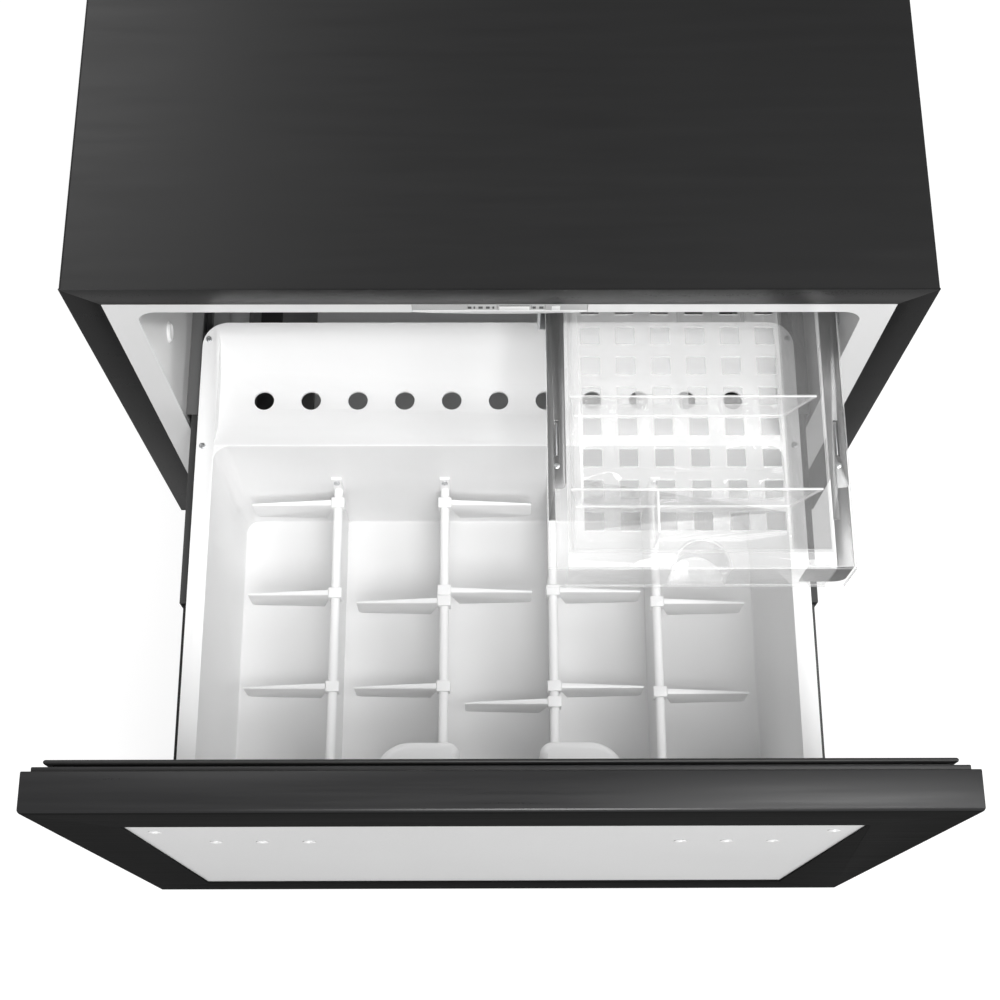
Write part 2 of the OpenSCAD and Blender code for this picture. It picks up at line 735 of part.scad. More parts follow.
// Channel open towards the bin, with its web at distance web_x from the middle
module slide_channel(web_x, lip_x, h, t) {
    rect([web_x, web_x + t], [slide_z - h / 2, slide_z + h / 2]);
    for (z = [slide_z - h / 2, slide_z + h / 2 - t]) rect([lip_x, web_x + t], [z, z + t]);
}
module slide_outer() {
    run_y([slide_y0, slide_y1]) {
        slide_channel(cav_x - slide_t, bin_x + 3, slide_h, slide_t);
        for (z = [slide_z - slide_h / 2, slide_z + slide_h / 2 - slide_lip])
            rect([bin_x + 3, bin_x + 3 + slide_t], [z, z + slide_lip]);
    }
}
// Middle member with its two rows of balls above and two below
module slide_mid() {
    run_y([slide_y0, slide_y1]) slide_channel(bin_x + 7.6, bin_x + 3.5, mid_h, slide_t);
    for (s = [-1, 1], z = [mid_h / 2 + ball_seat, mid_h / 2 - slide_t - ball_seat], i = [0 : ball_count - 1])
        translate([bin_x + 6, slide_y0 + ball_end + i * ball_pitch, slide_z + s * z]) sphere(ball_r);
}
module slide_inner() {
    run_y([slide_y0, slide_y1 - 2]) union() {
        rect([bin_x, bin_x + slide_t], [slide_z - inner_h / 2, slide_z + inner_h / 2]);
        for (z = [slide_z - inner_h / 2, slide_z + inner_h / 2 - slide_t])
            rect([bin_x, bin_x + 6.6], [z, z + slide_t]);
    }
}
module slide_outer_left() { color(dark_steel) from_front() mirror([1, 0, 0]) slide_outer(); }
module slide_outer_right() { color(dark_steel) from_front() slide_outer(); }
module slide_mid_left() { color(dark_steel) on_slide_mid() mirror([1, 0, 0]) slide_mid(); }
module slide_mid_right() { color(dark_steel) on_slide_mid() slide_mid(); }
module slide_inner_left() { color(dark_steel) on_drawer() mirror([1, 0, 0]) slide_inner(); }
module slide_inner_right() { color(dark_steel) on_drawer() slide_inner(); }

// Steel angles under the bin's rim that carry it, screwed to the front and to the slides
module drawer_carriers() {
    color(dark_steel) on_drawer() both_sides() {
        run_y([bin_y0, slide_y1 - 4]) union() {
            rect([bin_x - carrier_t, bin_x], [slide_z - 22, rim_z - bin_t]);
            rect([bin_x - carrier_w, bin_x], [rim_z - bin_t - carrier_t, rim_z - bin_t]);
        }
        block([bin_x - carrier_w, bin_x], [bin_y0, bin_y0 + carrier_t], [slide_z - 22, rim_z - bin_t]);
    }
}

// Drawer front

// Outline in depth and across, with its two front corners rounded
module front_outline(across) {
    rect([face_y + front_r, front_back], across);
    rect([face_y, front_back], [across[0] + front_r, across[1] - front_r]);
    for (c = [across[0] + front_r, across[1] - front_r]) translate([face_y + front_r, c]) circle(front_r);
}
module door_frame() {
    w = front_wall;
    color(black) on_drawer() difference() {
        intersection() {
            run_x([-face_x, face_x]) front_outline([face_z0, face_z1]);
            translate([0, 0, face_z0]) linear_extrude(face_z1 - face_z0) mirror([1, -1])
                front_outline([-face_x, face_x]);
        }
        block([w - face_x, face_x - w], [face_y + w, front_back + cut], [face_z0 + w, face_z1 - w]);
        block(open_x, [face_y - cut, front_back], open_z);
    }
}
module anchor_places() {
    middle = (open_x[0] + open_x[1]) / 2;
    for (a = anchors, s = [-1, 1]) translate([middle + s * a[0] * hole_pitch, sheet_y, open_z[1] - a[1]])
        rotate([-90, 0, 0]) children();
}
module door_sheet() {
    color(grey) on_drawer() difference() {
        block(sheet_x, [sheet_y, sheet_y + sheet_thick], sheet_z);
        anchor_places() translate([0, 0, -cut]) cylinder(h = 2 * cut + sheet_thick, r = anchor_r + fit_gap);
    }
}
module sheet_anchors() {
    color(white) on_drawer() anchor_places() difference() {
        translate([0, 0, -0.3]) cylinder(h = anchor_l, r = anchor_r);
        translate([0, 0, -cut]) cylinder(h = anchor_l + 2 * cut, r = anchor_hole_r);
    }
}
module door_core() {
    x = face_x - front_wall;
    color(foam_tan) on_drawer() difference() {
        block([-x, x], [sheet_y, front_back], [face_z0 + front_wall, face_z1 - front_wall]);
        block(sheet_x, [sheet_y - cut, sheet_y + sheet_thick], sheet_z);
        anchor_places() translate([0, 0, -cut]) cylinder(h = anchor_l + cut - 0.3, r = anchor_r + fit_gap);
    }
}
module door_inner_plate() {
    x = face_x - plate_step;
    color(black) on_drawer() {
        block([-x, x], [front_back, -gasket_t], [face_z0 + plate_step, face_z1 - plate_step]);
        block([-bin_x, bin_x], [-gasket_t, bin_y0 - 0.3], [cav_z0 + plug_gap, cav_z1 - plug_gap]);
    }
}
module gasket() {
    lip = 1.2;
    neck = 3;
    head = gasket_t - 2 * lip;
    z = [face_z0 + gasket_step, face_z1 - gasket_step];
    color(rubber) on_drawer()
        mitred_ring(face_x - gasket_step, z, [-gasket_t, 0], gasket_w) translate([-gasket_t, 0]) union() {
            rect([0, lip], [neck, gasket_w - neck]);
            rect([0, gasket_t - lip], [neck + 2, gasket_w - neck - 2]);
            rect([gasket_t - head, gasket_t], [head / 2, gasket_w - head / 2]);
            for (w = [head / 2, gasket_w - head / 2]) translate([gasket_t - head / 2, w]) circle(head / 2);
        }
}

// Bin

module rim_outline(inset) {
    x = bin_x - inset;
    y1 = bin_y1 - inset;
    r = rim_r - inset;
    rect([-x, x], [bin_y0, y1 - r]);
    rect([r - x, x - r], [bin_y0, y1]);
    for (s = [-1, 1]) translate([s * (x - r), y1 - r]) circle(r);
}
// Boss behind the front wall, with a tight inner and a wide outer corner
module bin_hump() {
    x = [hump_x, hump_x + hump_w];
    y = [in_y0 - bin_t, bin_y0 + hump_l];
    translate([0, 0, rim_z - hump_h]) linear_extrude(hump_h) intersection() {
        rect(x, y);
        union() {
            rect([x[0] + hump_r[0], x[1] - hump_r[1]], y);
            rect([x[0], x[1] - hump_r[1]], [y[0], y[1] - hump_r[0]]);
            rect(x, [y[0], y[1] - hump_r[1]]);
            translate([x[0] + hump_r[0], y[1] - hump_r[0]]) circle(hump_r[0]);
            translate([x[1] - hump_r[1], y[1] - hump_r[1]]) circle(hump_r[1]);
        }
    }
}
module bin() {
    out_x = in_x + bin_t;
    shelf_path = [[ridge_y, rim_z], [ridge_y + bin_t, rim_z], [shelf_y0, shelf_z], [shelf_y1, shelf_z],
        [shelf_y1 + shelf_slope, rim_z]];
    color(white) on_drawer() difference() {
        union() {
            translate([0, 0, rim_z - bin_t]) linear_extrude(bin_t) difference() {
                rim_outline(0);
                rect([-in_x, in_x], [in_y0, bin_y1 - rear_rim]);
            }
            translate([0, 0, bin_z0]) linear_extrude(bin_h) difference() {
                round_rect([-out_x, out_x], [in_y0 - bin_t, ridge_y + bin_t], tub_r + bin_t);
                round_rect([-in_x, in_x], [in_y0, ridge_y], tub_r);
            }
            translate([0, 0, bin_z0]) linear_extrude(bin_t)
                round_rect([-out_x, out_x], [in_y0 - bin_t, ridge_y + bin_t], tub_r + bin_t);
            run_x([-out_x, out_x]) polygon(concat(shelf_path, [for (i = [len(shelf_path) - 1 : -1 : 0])
                shelf_path[i] - [0, bin_t]]));
            both_sides() block([in_x, out_x], [ridge_y, bin_y1 - rear_rim + bin_t], [shelf_z - bin_t, rim_z]);
            both_sides() bin_hump();
        }
        for (i = [0 : air_holes - 1]) translate([(i - (air_holes - 1) / 2) * air_pitch, air_y, shelf_z - 2 * bin_t])
            cylinder(h = 3 * bin_t, r = air_r);
        rim_screw_places() translate([0, 0, -3 * bin_t]) cylinder(h = 4 * bin_t, r = rim_screw_r);
    }
}
module rim_screw_places() {
    for (s = [-1, 1], y = [ridge_y, bin_y1 - 15])
        translate([s * (bin_x - 5), y, rim_z]) children();
}
module bin_screws() {
    color(steel) on_drawer() {
        rim_screw_places() pan_screw(2.2, 1.2, rim_screw_r, bin_t);
        for (x = rod_x) translate([x, ridge_y - tab_t, rod_z + tab_h - tab_hole_drop]) rotate([90, 0, 0])
            pan_screw(2.6, 1.6, tab_hole_r, tab_t);
    }
}

// Rods and dividers

// Dividing walls, each with a rod along its upper edge and a screw tab at its rear
module divider_rods() {
    color(white) on_drawer() for (x = rod_x) {
        rod_y(x, rod_z, rod_r, [in_y0 + tab_t, ridge_y - tab_t]);
        block([x - wall_t / 2, x + wall_t / 2], [in_y0, ridge_y], [bin_z0 + bin_t, rod_z]);
        block([x - tab_w / 2, x + tab_w / 2], [in_y0, in_y0 + tab_t], [rod_z - tab_foot, rod_z + tab_foot]);
        difference() {
            block([x - tab_w / 2, x + tab_w / 2], [ridge_y - tab_t, ridge_y], [rod_z - tab_foot, rod_z + tab_h]);
            rod_y(x, rod_z + tab_h - tab_hole_drop, tab_hole_r, [ridge_y - tab_t - cut, ridge_y + cut]);
        }
    }
}
// Clip on the rod with one blade that thins and drops towards its tip
module divider(i) {
    d = dividers[i];
    top = rod_r + 2.2;
    corner = blade_h / 6;
    flip = d[1] < 0 ? 1 : 0;
    color(white) on_drawer() translate([rod_x[d[0]], ridge_y - d[2], rod_z]) mirror([flip, 0, 0]) difference() {
        union() {
            block([-clip_w / 2, clip_w / 2], [-clip_l / 2, clip_l / 2], [-top, top]);
            intersection() {
                run_y([-blade_root, blade_root]) union() {
                    polygon([[0, top], [blade_l, top - tip_drop], [blade_l, corner - blade_h],
                        [blade_l - corner, -blade_h], [2 * top, -blade_h], [clip_w / 2, -top], [0, -top]]);
                    translate([blade_l - corner, corner - blade_h]) circle(corner);
                }
                translate([0, 0, -blade_h]) linear_extrude(blade_h + top)
                    polygon([[0, -blade_root / 2], [0, blade_root / 2],
                        [blade_l, blade_tip / 2], [blade_l, -blade_tip / 2]]);
            }
        }
        rod_y(0, 0, rod_r + rod_gap, [-clip_l, clip_l]);
        block([-wall_t / 2 - wall_gap, wall_t / 2 + wall_gap], [-clip_l, clip_l], [-top - cut, 0]);
    }
}

// Clear tray and its rails

module bowl_outline(inset) {
    x = [bowl_x0 - tray_t + inset, bowl_x1 + tray_t - inset];
    z = [tray_z0 + inset, tray_z1 + (inset > 0 ? cut : 0)];
    polygon([[x[0], z[1]], [x[0] + left_lean, z[0]], [x[1] - right_lean, z[0]], [x[1], z[1]]]);
}
module bowl_side(inset) {
    polygon([[bowl_y0 - tray_t + inset, tray_z1 + cut], [bowl_y0 - tray_t + front_lean + inset, tray_z0 + inset],
        [tray_y1 - 3 - inset, tray_z0 + inset], [tray_y1 - 3 - inset, tray_z1 + cut]]);
}
module bowl(inset) {
    intersection() {
        run_y([tray_y0, tray_y1]) bowl_outline(inset);
        run_x([tray_x0, tray_x1]) bowl_side(inset);
    }
}
module tray() {
    grip_y = tray_y0 + tray_t;
    color(clear) on_tray() difference() {
        union() {
            bowl(0);
            block([tray_x0, tray_x1], [tray_y0, tray_y1], [tray_z1 - tray_rim_t, tray_z1]);
            block([tray_x0, tray_x1], [tray_y0, tray_y0 + tray_t], [tray_z0, tray_z1]);
            intersection() {
                translate([grip_x, grip_y, tray_z0]) cylinder(h = tray_h, r = grip_r + tray_t);
                block([tray_x0, tray_x1], [tray_y0, tray_y1], [tray_z0, tray_z1]);
            }
        }
        difference() {
            bowl(tray_t);
            translate([grip_x, grip_y, tray_z0 - cut]) cylinder(h = tray_h + 3 * cut, r = grip_r + tray_t);
        }
        intersection() {
            translate([grip_x, grip_y, tray_z0 + tray_t]) cylinder(h = tray_h, r = grip_r);
            block([tray_x0, tray_x1], [grip_y, tray_y1], [tray_z0, tray_z1 + cut]);
        }
        for (i = [0 : 5], j = [0 : grid_rows - 1])
            translate([grid_x0 + i * grid_x, tray_y0 + grid_front + j * grid_y, tray_z0 - cut])
            cube([grid_hole, grid_hole, tray_t + 2 * cut]);
    }
}
module tray_cross(y) {
    intersection() {
        run_y([y - tray_t / 2, y + tray_t / 2]) bowl_outline(tray_t + 0.1);
        block([tray_x0, tray_x1], [tray_y0, tray_y1], [tray_z0, tray_z1 - 4]);
    }
}
module tray_dividers() {
    color(clear) on_tray() {
        for (y = cross_y) tray_cross(y);
        block([part_x, part_x + tray_t], [bowl_y0 + front_lean + 1, cross_y[0] - tray_t / 2],
            [tray_z0 + tray_t + 0.1, tray_z1 - 6]);
    }
}

module tray_rail_outer(x) {
    w = rail_w / 2;
    run_y([rail_y0, rail_y1]) difference() {
        rect([x - w, x + w], [rail_z0, rail_z0 + rail_h]);
        rect([x - w + rail_wall, x + w - rail_wall], [rail_z0 + rail_wall, rail_z0 + rail_h + cut]);
    }
}
module tray_rail_mid(x) {
    w = rail_w / 2 - rail_wall - rail_gap;
    z = rail_z0 + rail_wall + rail_gap;
    run_y([rail_y0, rail_y1]) difference() {
        rect([x - w, x + w], [z, rail_z0 + rail_h]);
        rect([x - w + mid_wall, x + w - mid_wall], [z + mid_wall, rail_z0 + rail_h + cut]);
    }
}
module tray_rail_inner(x) {
    w = rail_w / 2 - rail_wall - 2 * rail_gap - mid_wall;
    z0 = rail_z0 + rail_wall + 2 * rail_gap + mid_wall;
    side = [x - rail_w / 2, x + rail_w / 2];
    corner = 4;
    tongue = [5, 24];
    difference() {
        union() {
            block([x - w, x + w], [strip_y[0] + 20, strip_y[1]], [z0, rail_z1 - strip_t]);
            translate([0, 0, rail_z1 - strip_t]) linear_extrude(strip_t) {
                rect(side, [strip_y[0] + corner, strip_y[1]]);
                rect([side[0], side[1] - corner], strip_y);
                translate([side[1] - corner, strip_y[0] + corner]) circle(corner);
                rect([side[0], side[0] + tongue[0]], [strip_y[0] - tongue[1], strip_y[0] + corner]);
            }
        }
        block([x - 1.6, x + 1.6], [strip_y[0] + 24, strip_y[0] + 52], [rail_z1 - 4, rail_z1 + cut]);
    }
}
module tray_rail_outer_left() { color(steel) from_front() tray_rail_outer(rail_x[0]); }
module tray_rail_outer_right() { color(steel) from_front() tray_rail_outer(rail_x[1]); }
module tray_rail_mid_left() { color(steel) on_rail_mid() tray_rail_mid(rail_x[0]); }
module tray_rail_mid_right() { color(steel) on_rail_mid() tray_rail_mid(rail_x[1]); }
module tray_rail_inner_left() { color(steel) on_tray() tray_rail_inner(rail_x[0]); }
module tray_rail_inner_right() { color(steel) on_tray() tray_rail_inner(rail_x[1]); }
// Hangers from the ceiling on the left, short standoffs to the wall on the right
module tray_hangers() {
    left = rail_x[0] - rail_w / 2;
    right = rail_x[1] + rail_w / 2;
    web = left - 2 * hanger_t;
    color(steel) from_front() for (y0 = hanger_y) {
        y = [y0, y0 + hanger_l];
        block([web - hanger_t, web], y, [rail_z0 - hanger_t, cav_z1]);
        block([web - 10 * hanger_t, web], y, [cav_z1 - hanger_t, cav_z1]);
        block([web - hanger_t, left + rail_w], y, [rail_z0 - hanger_t, rail_z0]);
        block([right, cav_x], y, [rail_z0, rail_z0 + rail_h]);
    }
}

outer_shell();
front_frame_left();
front_frame_right();
front_frame_top();
front_frame_bottom();
foam_body();
liner();
base_plate();
levelling_feet();
back_plate();
lamp_housing();
lamp_lens();
lamp_board();
temperature_button();
lamp_button();
wall_plugs();
floor_guides();
evaporator();
absorber();
boiler();
condenser();
unit_brackets();
mains_inlet();
slide_outer_left();
slide_outer_right();
slide_mid_left();
slide_mid_right();
slide_inner_left();
slide_inner_right();
drawer_carriers();
door_frame();
door_sheet();
sheet_anchors();
door_core();
door_inner_plate();
gasket();
bin();
bin_screws();
divider_rods();
tray();
tray_dividers();
tray_rail_outer_left();
tray_rail_outer_right();
tray_rail_mid_left();
tray_rail_mid_right();
tray_rail_inner_left();
tray_rail_inner_right();
tray_hangers();
for (i = [1 : divider_count]) divider(i - 1);
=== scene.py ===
"""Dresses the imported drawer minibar: a finish for every sheet, moulding and rail, softened copies of the
pieces whose edges catch the light, and the small fittings that the solids leave out."""
import logging
import math
from contextlib import contextmanager
from dataclasses import dataclass, replace
from enum import Enum
from typing import Callable, ClassVar, Iterator, Optional, Sequence, Union

import bmesh
import bpy
from mathutils import Matrix, Vector


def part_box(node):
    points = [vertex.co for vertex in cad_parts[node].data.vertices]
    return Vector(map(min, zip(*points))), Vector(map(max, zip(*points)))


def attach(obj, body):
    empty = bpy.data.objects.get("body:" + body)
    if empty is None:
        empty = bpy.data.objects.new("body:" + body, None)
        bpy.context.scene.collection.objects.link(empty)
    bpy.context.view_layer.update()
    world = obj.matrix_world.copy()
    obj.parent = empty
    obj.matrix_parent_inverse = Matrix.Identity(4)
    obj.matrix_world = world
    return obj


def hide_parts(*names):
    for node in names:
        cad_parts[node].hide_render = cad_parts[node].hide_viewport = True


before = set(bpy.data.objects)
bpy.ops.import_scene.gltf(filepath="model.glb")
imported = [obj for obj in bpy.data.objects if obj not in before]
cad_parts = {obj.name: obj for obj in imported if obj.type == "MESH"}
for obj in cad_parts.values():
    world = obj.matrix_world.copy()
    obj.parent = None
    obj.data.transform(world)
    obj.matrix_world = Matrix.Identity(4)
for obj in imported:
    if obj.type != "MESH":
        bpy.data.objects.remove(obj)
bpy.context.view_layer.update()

LOG = logging.getLogger("minibar")
MM = 0.001
# How far a corner may lie off a level and still count as on it
SLACK = 0.1 * MM
# The soft edge of a thin sheet
SHEET_EDGE = 0.25 * MM
Object = bpy.types.Object
Polygon = bpy.types.MeshPolygon
Colour = tuple[float, float, float]
Span = tuple[float, float]


class Body(str, Enum):
    """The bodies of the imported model."""

    CABINET = "cabinet"
    DRAWER = "drawer"
    TRAY = "tray_body"
    TRAY_MIDS = "tray_rail_mids"


class Axis(Enum):
    """The way a turned piece points."""

    UP = "up"
    FRONT = "front"
    REAR = "rear"
    RIGHT = "right"

    def turn(self) -> Matrix:
        """The rotation that carries +Z onto this axis."""
        return {
            Axis.UP: Matrix.Identity(4),
            Axis.FRONT: Matrix.Rotation(math.pi / 2, 4, "X"),
            Axis.REAR: Matrix.Rotation(-math.pi / 2, 4, "X"),
            Axis.RIGHT: Matrix.Rotation(math.pi / 2, 4, "Y"),
        }[self]


# Shader graphs


@dataclass(frozen=True)
class Wire:
    """One shader socket. Python's operators on it add Math nodes."""

    graph: "Graph"
    socket: bpy.types.NodeSocket

    def _math(self, operation: str, left: "Value", right: "Value") -> "Wire":
        """A Math node's result for two values."""
        return self.graph.add("ShaderNodeMath", {0: left, 1: right}, operation=operation)

    def __add__(self, other: "Value") -> "Wire":
        """self + other."""
        return self._math("ADD", self, other)

    __radd__ = __add__

    def __sub__(self, other: "Value") -> "Wire":
        """self - other."""
        return self._math("SUBTRACT", self, other)

    def __rsub__(self, other: "Value") -> "Wire":
        """other - self."""
        return self._math("SUBTRACT", other, self)

    def __mul__(self, other: "Value") -> "Wire":
        """self * other."""
        return self._math("MULTIPLY", self, other)

    __rmul__ = __mul__

    def above(self, level: float) -> "Wire":
        """1 where self is over a level, otherwise 0."""
        return self._math("GREATER_THAN", self, level)


Value = Union[Wire, int, float]


class Graph:
    """A material's node tree, grown one node at a time round its Principled shader."""

    def __init__(self, name: str) -> None:
        """Makes the material under a name."""
        self.material = bpy.data.materials.new(name)
        self.material.use_nodes = True
        self.tree = self.material.node_tree
        self.shader = self.tree.nodes["Principled BSDF"]
        self.output = self.tree.nodes["Material Output"]

    def feed(self, socket: bpy.types.NodeSocket, value: object) -> None:
        """Links a wire to a socket, or sets the socket's own value."""
        if isinstance(value, Wire):
            self.tree.links.new(value.socket, socket)
        else:
            socket.default_value = value

    def add(
        self, kind: str, sockets: Optional[dict[Union[int, str], object]] = None,
        out: Union[int, str] = 0, **settings: object,
    ) -> Wire:
        """Adds a node.

        Args:
            kind: The node's type.
            sockets: Values or wires for its inputs.
            out: The output that is wanted.
            settings: Its properties.

        Returns:
            A wire from that output.
        """
        node = self.tree.nodes.new(kind)
        for key, value in settings.items():
            setattr(node, key, value)
        for key, value in (sockets or {}).items():
            self.feed(node.inputs[key], value)
        return Wire(self, node.outputs[out])

    def place(self, scale: Sequence[float] = (1.0, 1.0, 1.0)) -> Wire:
        """Object coordinates, stretched by a scale."""
        spot = self.add("ShaderNodeTexCoord", out="Object")
        return self.add("ShaderNodeMapping", {"Vector": spot, "Scale": scale})

    def noise(self, scale: float, detail: float = 2.0, stretch: Sequence[float] = (1.0, 1.0, 1.0)) -> Wire:
        """Noise from 0 to 1 with so many lumps a metre."""
        return self.add(
            "ShaderNodeTexNoise", {"Vector": self.place(stretch), "Scale": scale, "Detail": detail}
        )

    def cells(self, scale: float) -> Wire:
        """The distance to the middle of a cell, with so many cells a metre."""
        return self.add("ShaderNodeTexVoronoi", {"Vector": self.place(), "Scale": scale})

    def blend(self, factor: Value, low: Colour, high: Colour) -> Wire:
        """A colour between two, by a factor from 0 to 1."""
        sockets = {0: factor, 6: (*low, 1.0), 7: (*high, 1.0)}
        return self.add("ShaderNodeMix", sockets, out=2, data_type="RGBA")

    def bump(self, height: Value, distance: float, strength: float = 1.0) -> Wire:
        """A Bump node's normal for a height from 0 to 1."""
        sockets = {"Height": height, "Distance": distance, "Strength": strength}
        return self.add("ShaderNodeBump", sockets, out="Normal")

    def dress(self, **sockets: object) -> None:
        """Feeds the Principled shader; an underscore in a name stands for a space."""
        for name, value in sockets.items():
            label = name.replace("_", " ").title().replace("Ior", "IOR")
            self.feed(self.shader.inputs[label], value)


def shade(colour: Colour, factor: float) -> Colour:
    """A colour made lighter or darker."""
    return tuple(min(1.0, c * factor) for c in colour)


@dataclass(frozen=True)
class Finish:
    """A surface finish. Each kind says how its material is made."""

    name: str
    colour: Colour
    roughness: float
    tones: ClassVar[Span] = (0.97, 1.0)

    def build(self, graph: Graph) -> None:
        """Feeds the material's node tree."""
        raise NotImplementedError

    def tint(self, graph: Graph, factor: Value) -> Wire:
        """The colour, from its darkest tone to its lightest by a factor."""
        low, high = (shade(self.colour, tone) for tone in self.tones)
        return graph.blend(factor, low, high)

    def material(self) -> bpy.types.Material:
        """The material, made on its first use."""
        if self.name not in bpy.data.materials:
            self.build(Graph(self.name))
        return bpy.data.materials[self.name]


@dataclass(frozen=True)
class PowderCoat(Finish):
    """Satin powder coat on sheet steel, with faint draw marks along one axis."""

    tones: ClassVar[Span] = (0.82, 1.18)
    grain: float = 1400.0
    grain_depth: float = 0.00002
    streak: float = 0.15
    streak_along: Sequence[float] = (1.0, 12.0, 12.0)
    gloss: float = 0.5

    def build(self, graph: Graph) -> None:
        """Feeds the node tree."""
        cloud = graph.noise(5.0, 3.0)
        draw = graph.noise(9.0, 4.0, self.streak_along)
        grain = graph.noise(self.grain, 2.0)
        tone = cloud * (1 - self.streak) + draw * self.streak
        graph.dress(
            base_color=self.tint(graph, tone),
            roughness=self.roughness + self.streak * (draw - 0.5) + 0.05 * grain,
            normal=graph.bump(grain * 0.8 + draw * 0.2, self.grain_depth, 0.5),
            specular_ior_level=self.gloss,
        )


@dataclass(frozen=True)
class Moulding(Finish):
    """Satin injection-moulded plastic: even colour, slight sink marks and a fine spark finish."""

    tones: ClassVar[Span] = (0.975, 1.0)
    sink: float = 0.00012
    spark: float = 0.000012
    coat: float = 0.15

    def build(self, graph: Graph) -> None:
        """Feeds the node tree."""
        flow = graph.noise(7.0, 2.0)
        spark = graph.noise(1700.0, 2.0)
        graph.dress(
            base_color=self.tint(graph, flow),
            roughness=self.roughness - 0.04 + 0.06 * flow + 0.03 * spark,
            normal=graph.bump(spark * 0.1 + flow * 0.9, self.sink, 0.25),
            coat_weight=self.coat,
            coat_roughness=0.12,
        )


@dataclass(frozen=True)
class Crystal(Finish):
    """Clear polished plastic: a share of white haze and sheen over what lies behind it."""

    haze: float = 0.3
    shadow: float = 0.08
    window: Optional[tuple[Span, Span]] = None
    window_share: float = 0.85

    def build(self, graph: Graph) -> None:
        """Feeds the node tree, with the shadow rays let through and less haze in two bands across X."""
        flow = graph.noise(24.0, 2.0)
        graph.dress(
            base_color=self.tint(graph, flow),
            roughness=self.roughness + 0.03 * flow,
            ior=1.8,
            coat_weight=1.0,
            coat_ior=2.2,
            normal=graph.bump(flow, 0.00025, 0.35),
        )
        clear = graph.add("ShaderNodeBsdfTransparent", {"Color": (1.0, 1.0, 1.0, 1.0)})
        shadow = graph.add("ShaderNodeLightPath", out="Is Shadow Ray")
        body = Wire(graph, graph.shader.outputs["BSDF"])
        share = self.haze - shadow * (self.haze - self.shadow) + flow * 0.04
        if self.window:
            across = graph.add("ShaderNodeSeparateXYZ", {"Vector": graph.place()}, out="X")
            for low, high in self.window:
                share = share * (1 - self.window_share * across.above(low) * (1 - across.above(high)))
        mixed = graph.add("ShaderNodeMixShader", {0: share, 1: clear, 2: body})
        graph.feed(graph.output.inputs["Surface"], mixed)


@dataclass(frozen=True)
class BareMetal(Finish):
    """Zinc-plated or rolled metal with roll marks along one axis and a mottled shine."""

    tones: ClassVar[Span] = (0.86, 1.1)
    roll_along: Sequence[float] = (40.0, 1.0, 40.0)
    roll_depth: float = 0.00002
    mottle: float = 0.1

    def build(self, graph: Graph) -> None:
        """Feeds the node tree."""
        roll = graph.noise(30.0, 4.0, self.roll_along)
        mottle = graph.noise(55.0, 3.0)
        tone = roll * (1 - self.mottle) + mottle * self.mottle
        graph.dress(
            base_color=self.tint(graph, tone),
            metallic=0.94 + 0.06 * mottle,
            roughness=self.roughness - 0.08 + 0.12 * roll + 0.06 * mottle,
            normal=graph.bump(roll, self.roll_depth, 0.5),
        )


@dataclass(frozen=True)
class Elastomer(Finish):
    """Black rubber or soft plastic with a dull bloom in patches."""

    tones: ClassVar[Span] = (0.8, 1.35)

    def build(self, graph: Graph) -> None:
        """Feeds the node tree."""
        bloom = graph.noise(38.0, 4.0)
        pore = graph.noise(2200.0, 2.0)
        graph.dress(
            base_color=self.tint(graph, bloom),
            roughness=self.roughness - 0.05 + 0.12 * bloom,
            normal=graph.bump(pore, 0.00003, 0.4),
            specular_ior_level=0.4,
        )


@dataclass(frozen=True)
class StippledSheet(Finish):
    """Light grey coated sheet with a fine stipple."""

    tones: ClassVar[Span] = (0.94, 1.03)

    def build(self, graph: Graph) -> None:
        """Feeds the node tree."""
        cloud = graph.noise(6.0, 3.0)
        cell = graph.cells(620.0)
        dimple = 1 - cell * 1.6
        tone = cloud * 0.75 + dimple * 0.25
        graph.dress(
            base_color=self.tint(graph, tone),
            roughness=self.roughness + 0.06 * cloud,
            normal=graph.bump(dimple, 0.00006, 0.35),
        )


@dataclass(frozen=True)
class Foam(Finish):
    """Rigid insulating foam with closed cells."""

    tones: ClassVar[Span] = (1.05, 0.8)

    def build(self, graph: Graph) -> None:
        """Feeds the node tree."""
        cell = graph.cells(900.0)
        graph.dress(
            base_color=self.tint(graph, cell),
            roughness=self.roughness + 0.05 * cell,
            normal=graph.bump(1 - cell, 0.0002, 0.5),
        )


@dataclass(frozen=True)
class Frost(Finish):
    """Frosted lamp lens, lit a little from within."""

    glow: float = 0.35

    def build(self, graph: Graph) -> None:
        """Feeds the node tree."""
        haze = graph.noise(900.0, 2.0)
        graph.dress(
            base_color=self.tint(graph, haze),
            roughness=self.roughness + 0.1 * haze,
            emission_color=(*self.colour, 1.0),
            emission_strength=self.glow,
            normal=graph.bump(haze, 0.00002, 0.4),
        )


COAT = PowderCoat("coat_black", (0.011, 0.011, 0.0112), 0.34, gloss=0.3)
FRAME_COAT = PowderCoat("coat_frame_black", (0.0095, 0.0095, 0.0097), 0.26, streak=0.03, gloss=0.26)
FRONT_COAT = PowderCoat(
    "coat_front_black", (0.014, 0.014, 0.0145), 0.32, 1600.0, 0.000015, 0.32, (1.0, 30.0, 30.0), 0.42
)
FRONT_MATT = PowderCoat(
    "coat_front_matt", (0.009, 0.009, 0.009), 0.8, 1600.0, 0.00001, 0.3, (1.0, 30.0, 30.0), 0.05
)
SLIDE_GREY = PowderCoat("slide_grey", (0.06, 0.06, 0.06), 0.5, 900.0, 0.00002, 0.3, (40.0, 1.0, 40.0), 0.3)
GUIDE_GREY = replace(SLIDE_GREY, name="guide_grey", colour=(0.22, 0.22, 0.22))
# The outer slides' dark grey is lightened to the tone of the soft shade on the liner wall beside the bin:
# partly the steel's own colour, partly painted shade
OUTER_SHADE_GREY = replace(SLIDE_GREY, name="slide_outer_painted_shade", colour=(0.12, 0.12, 0.12))
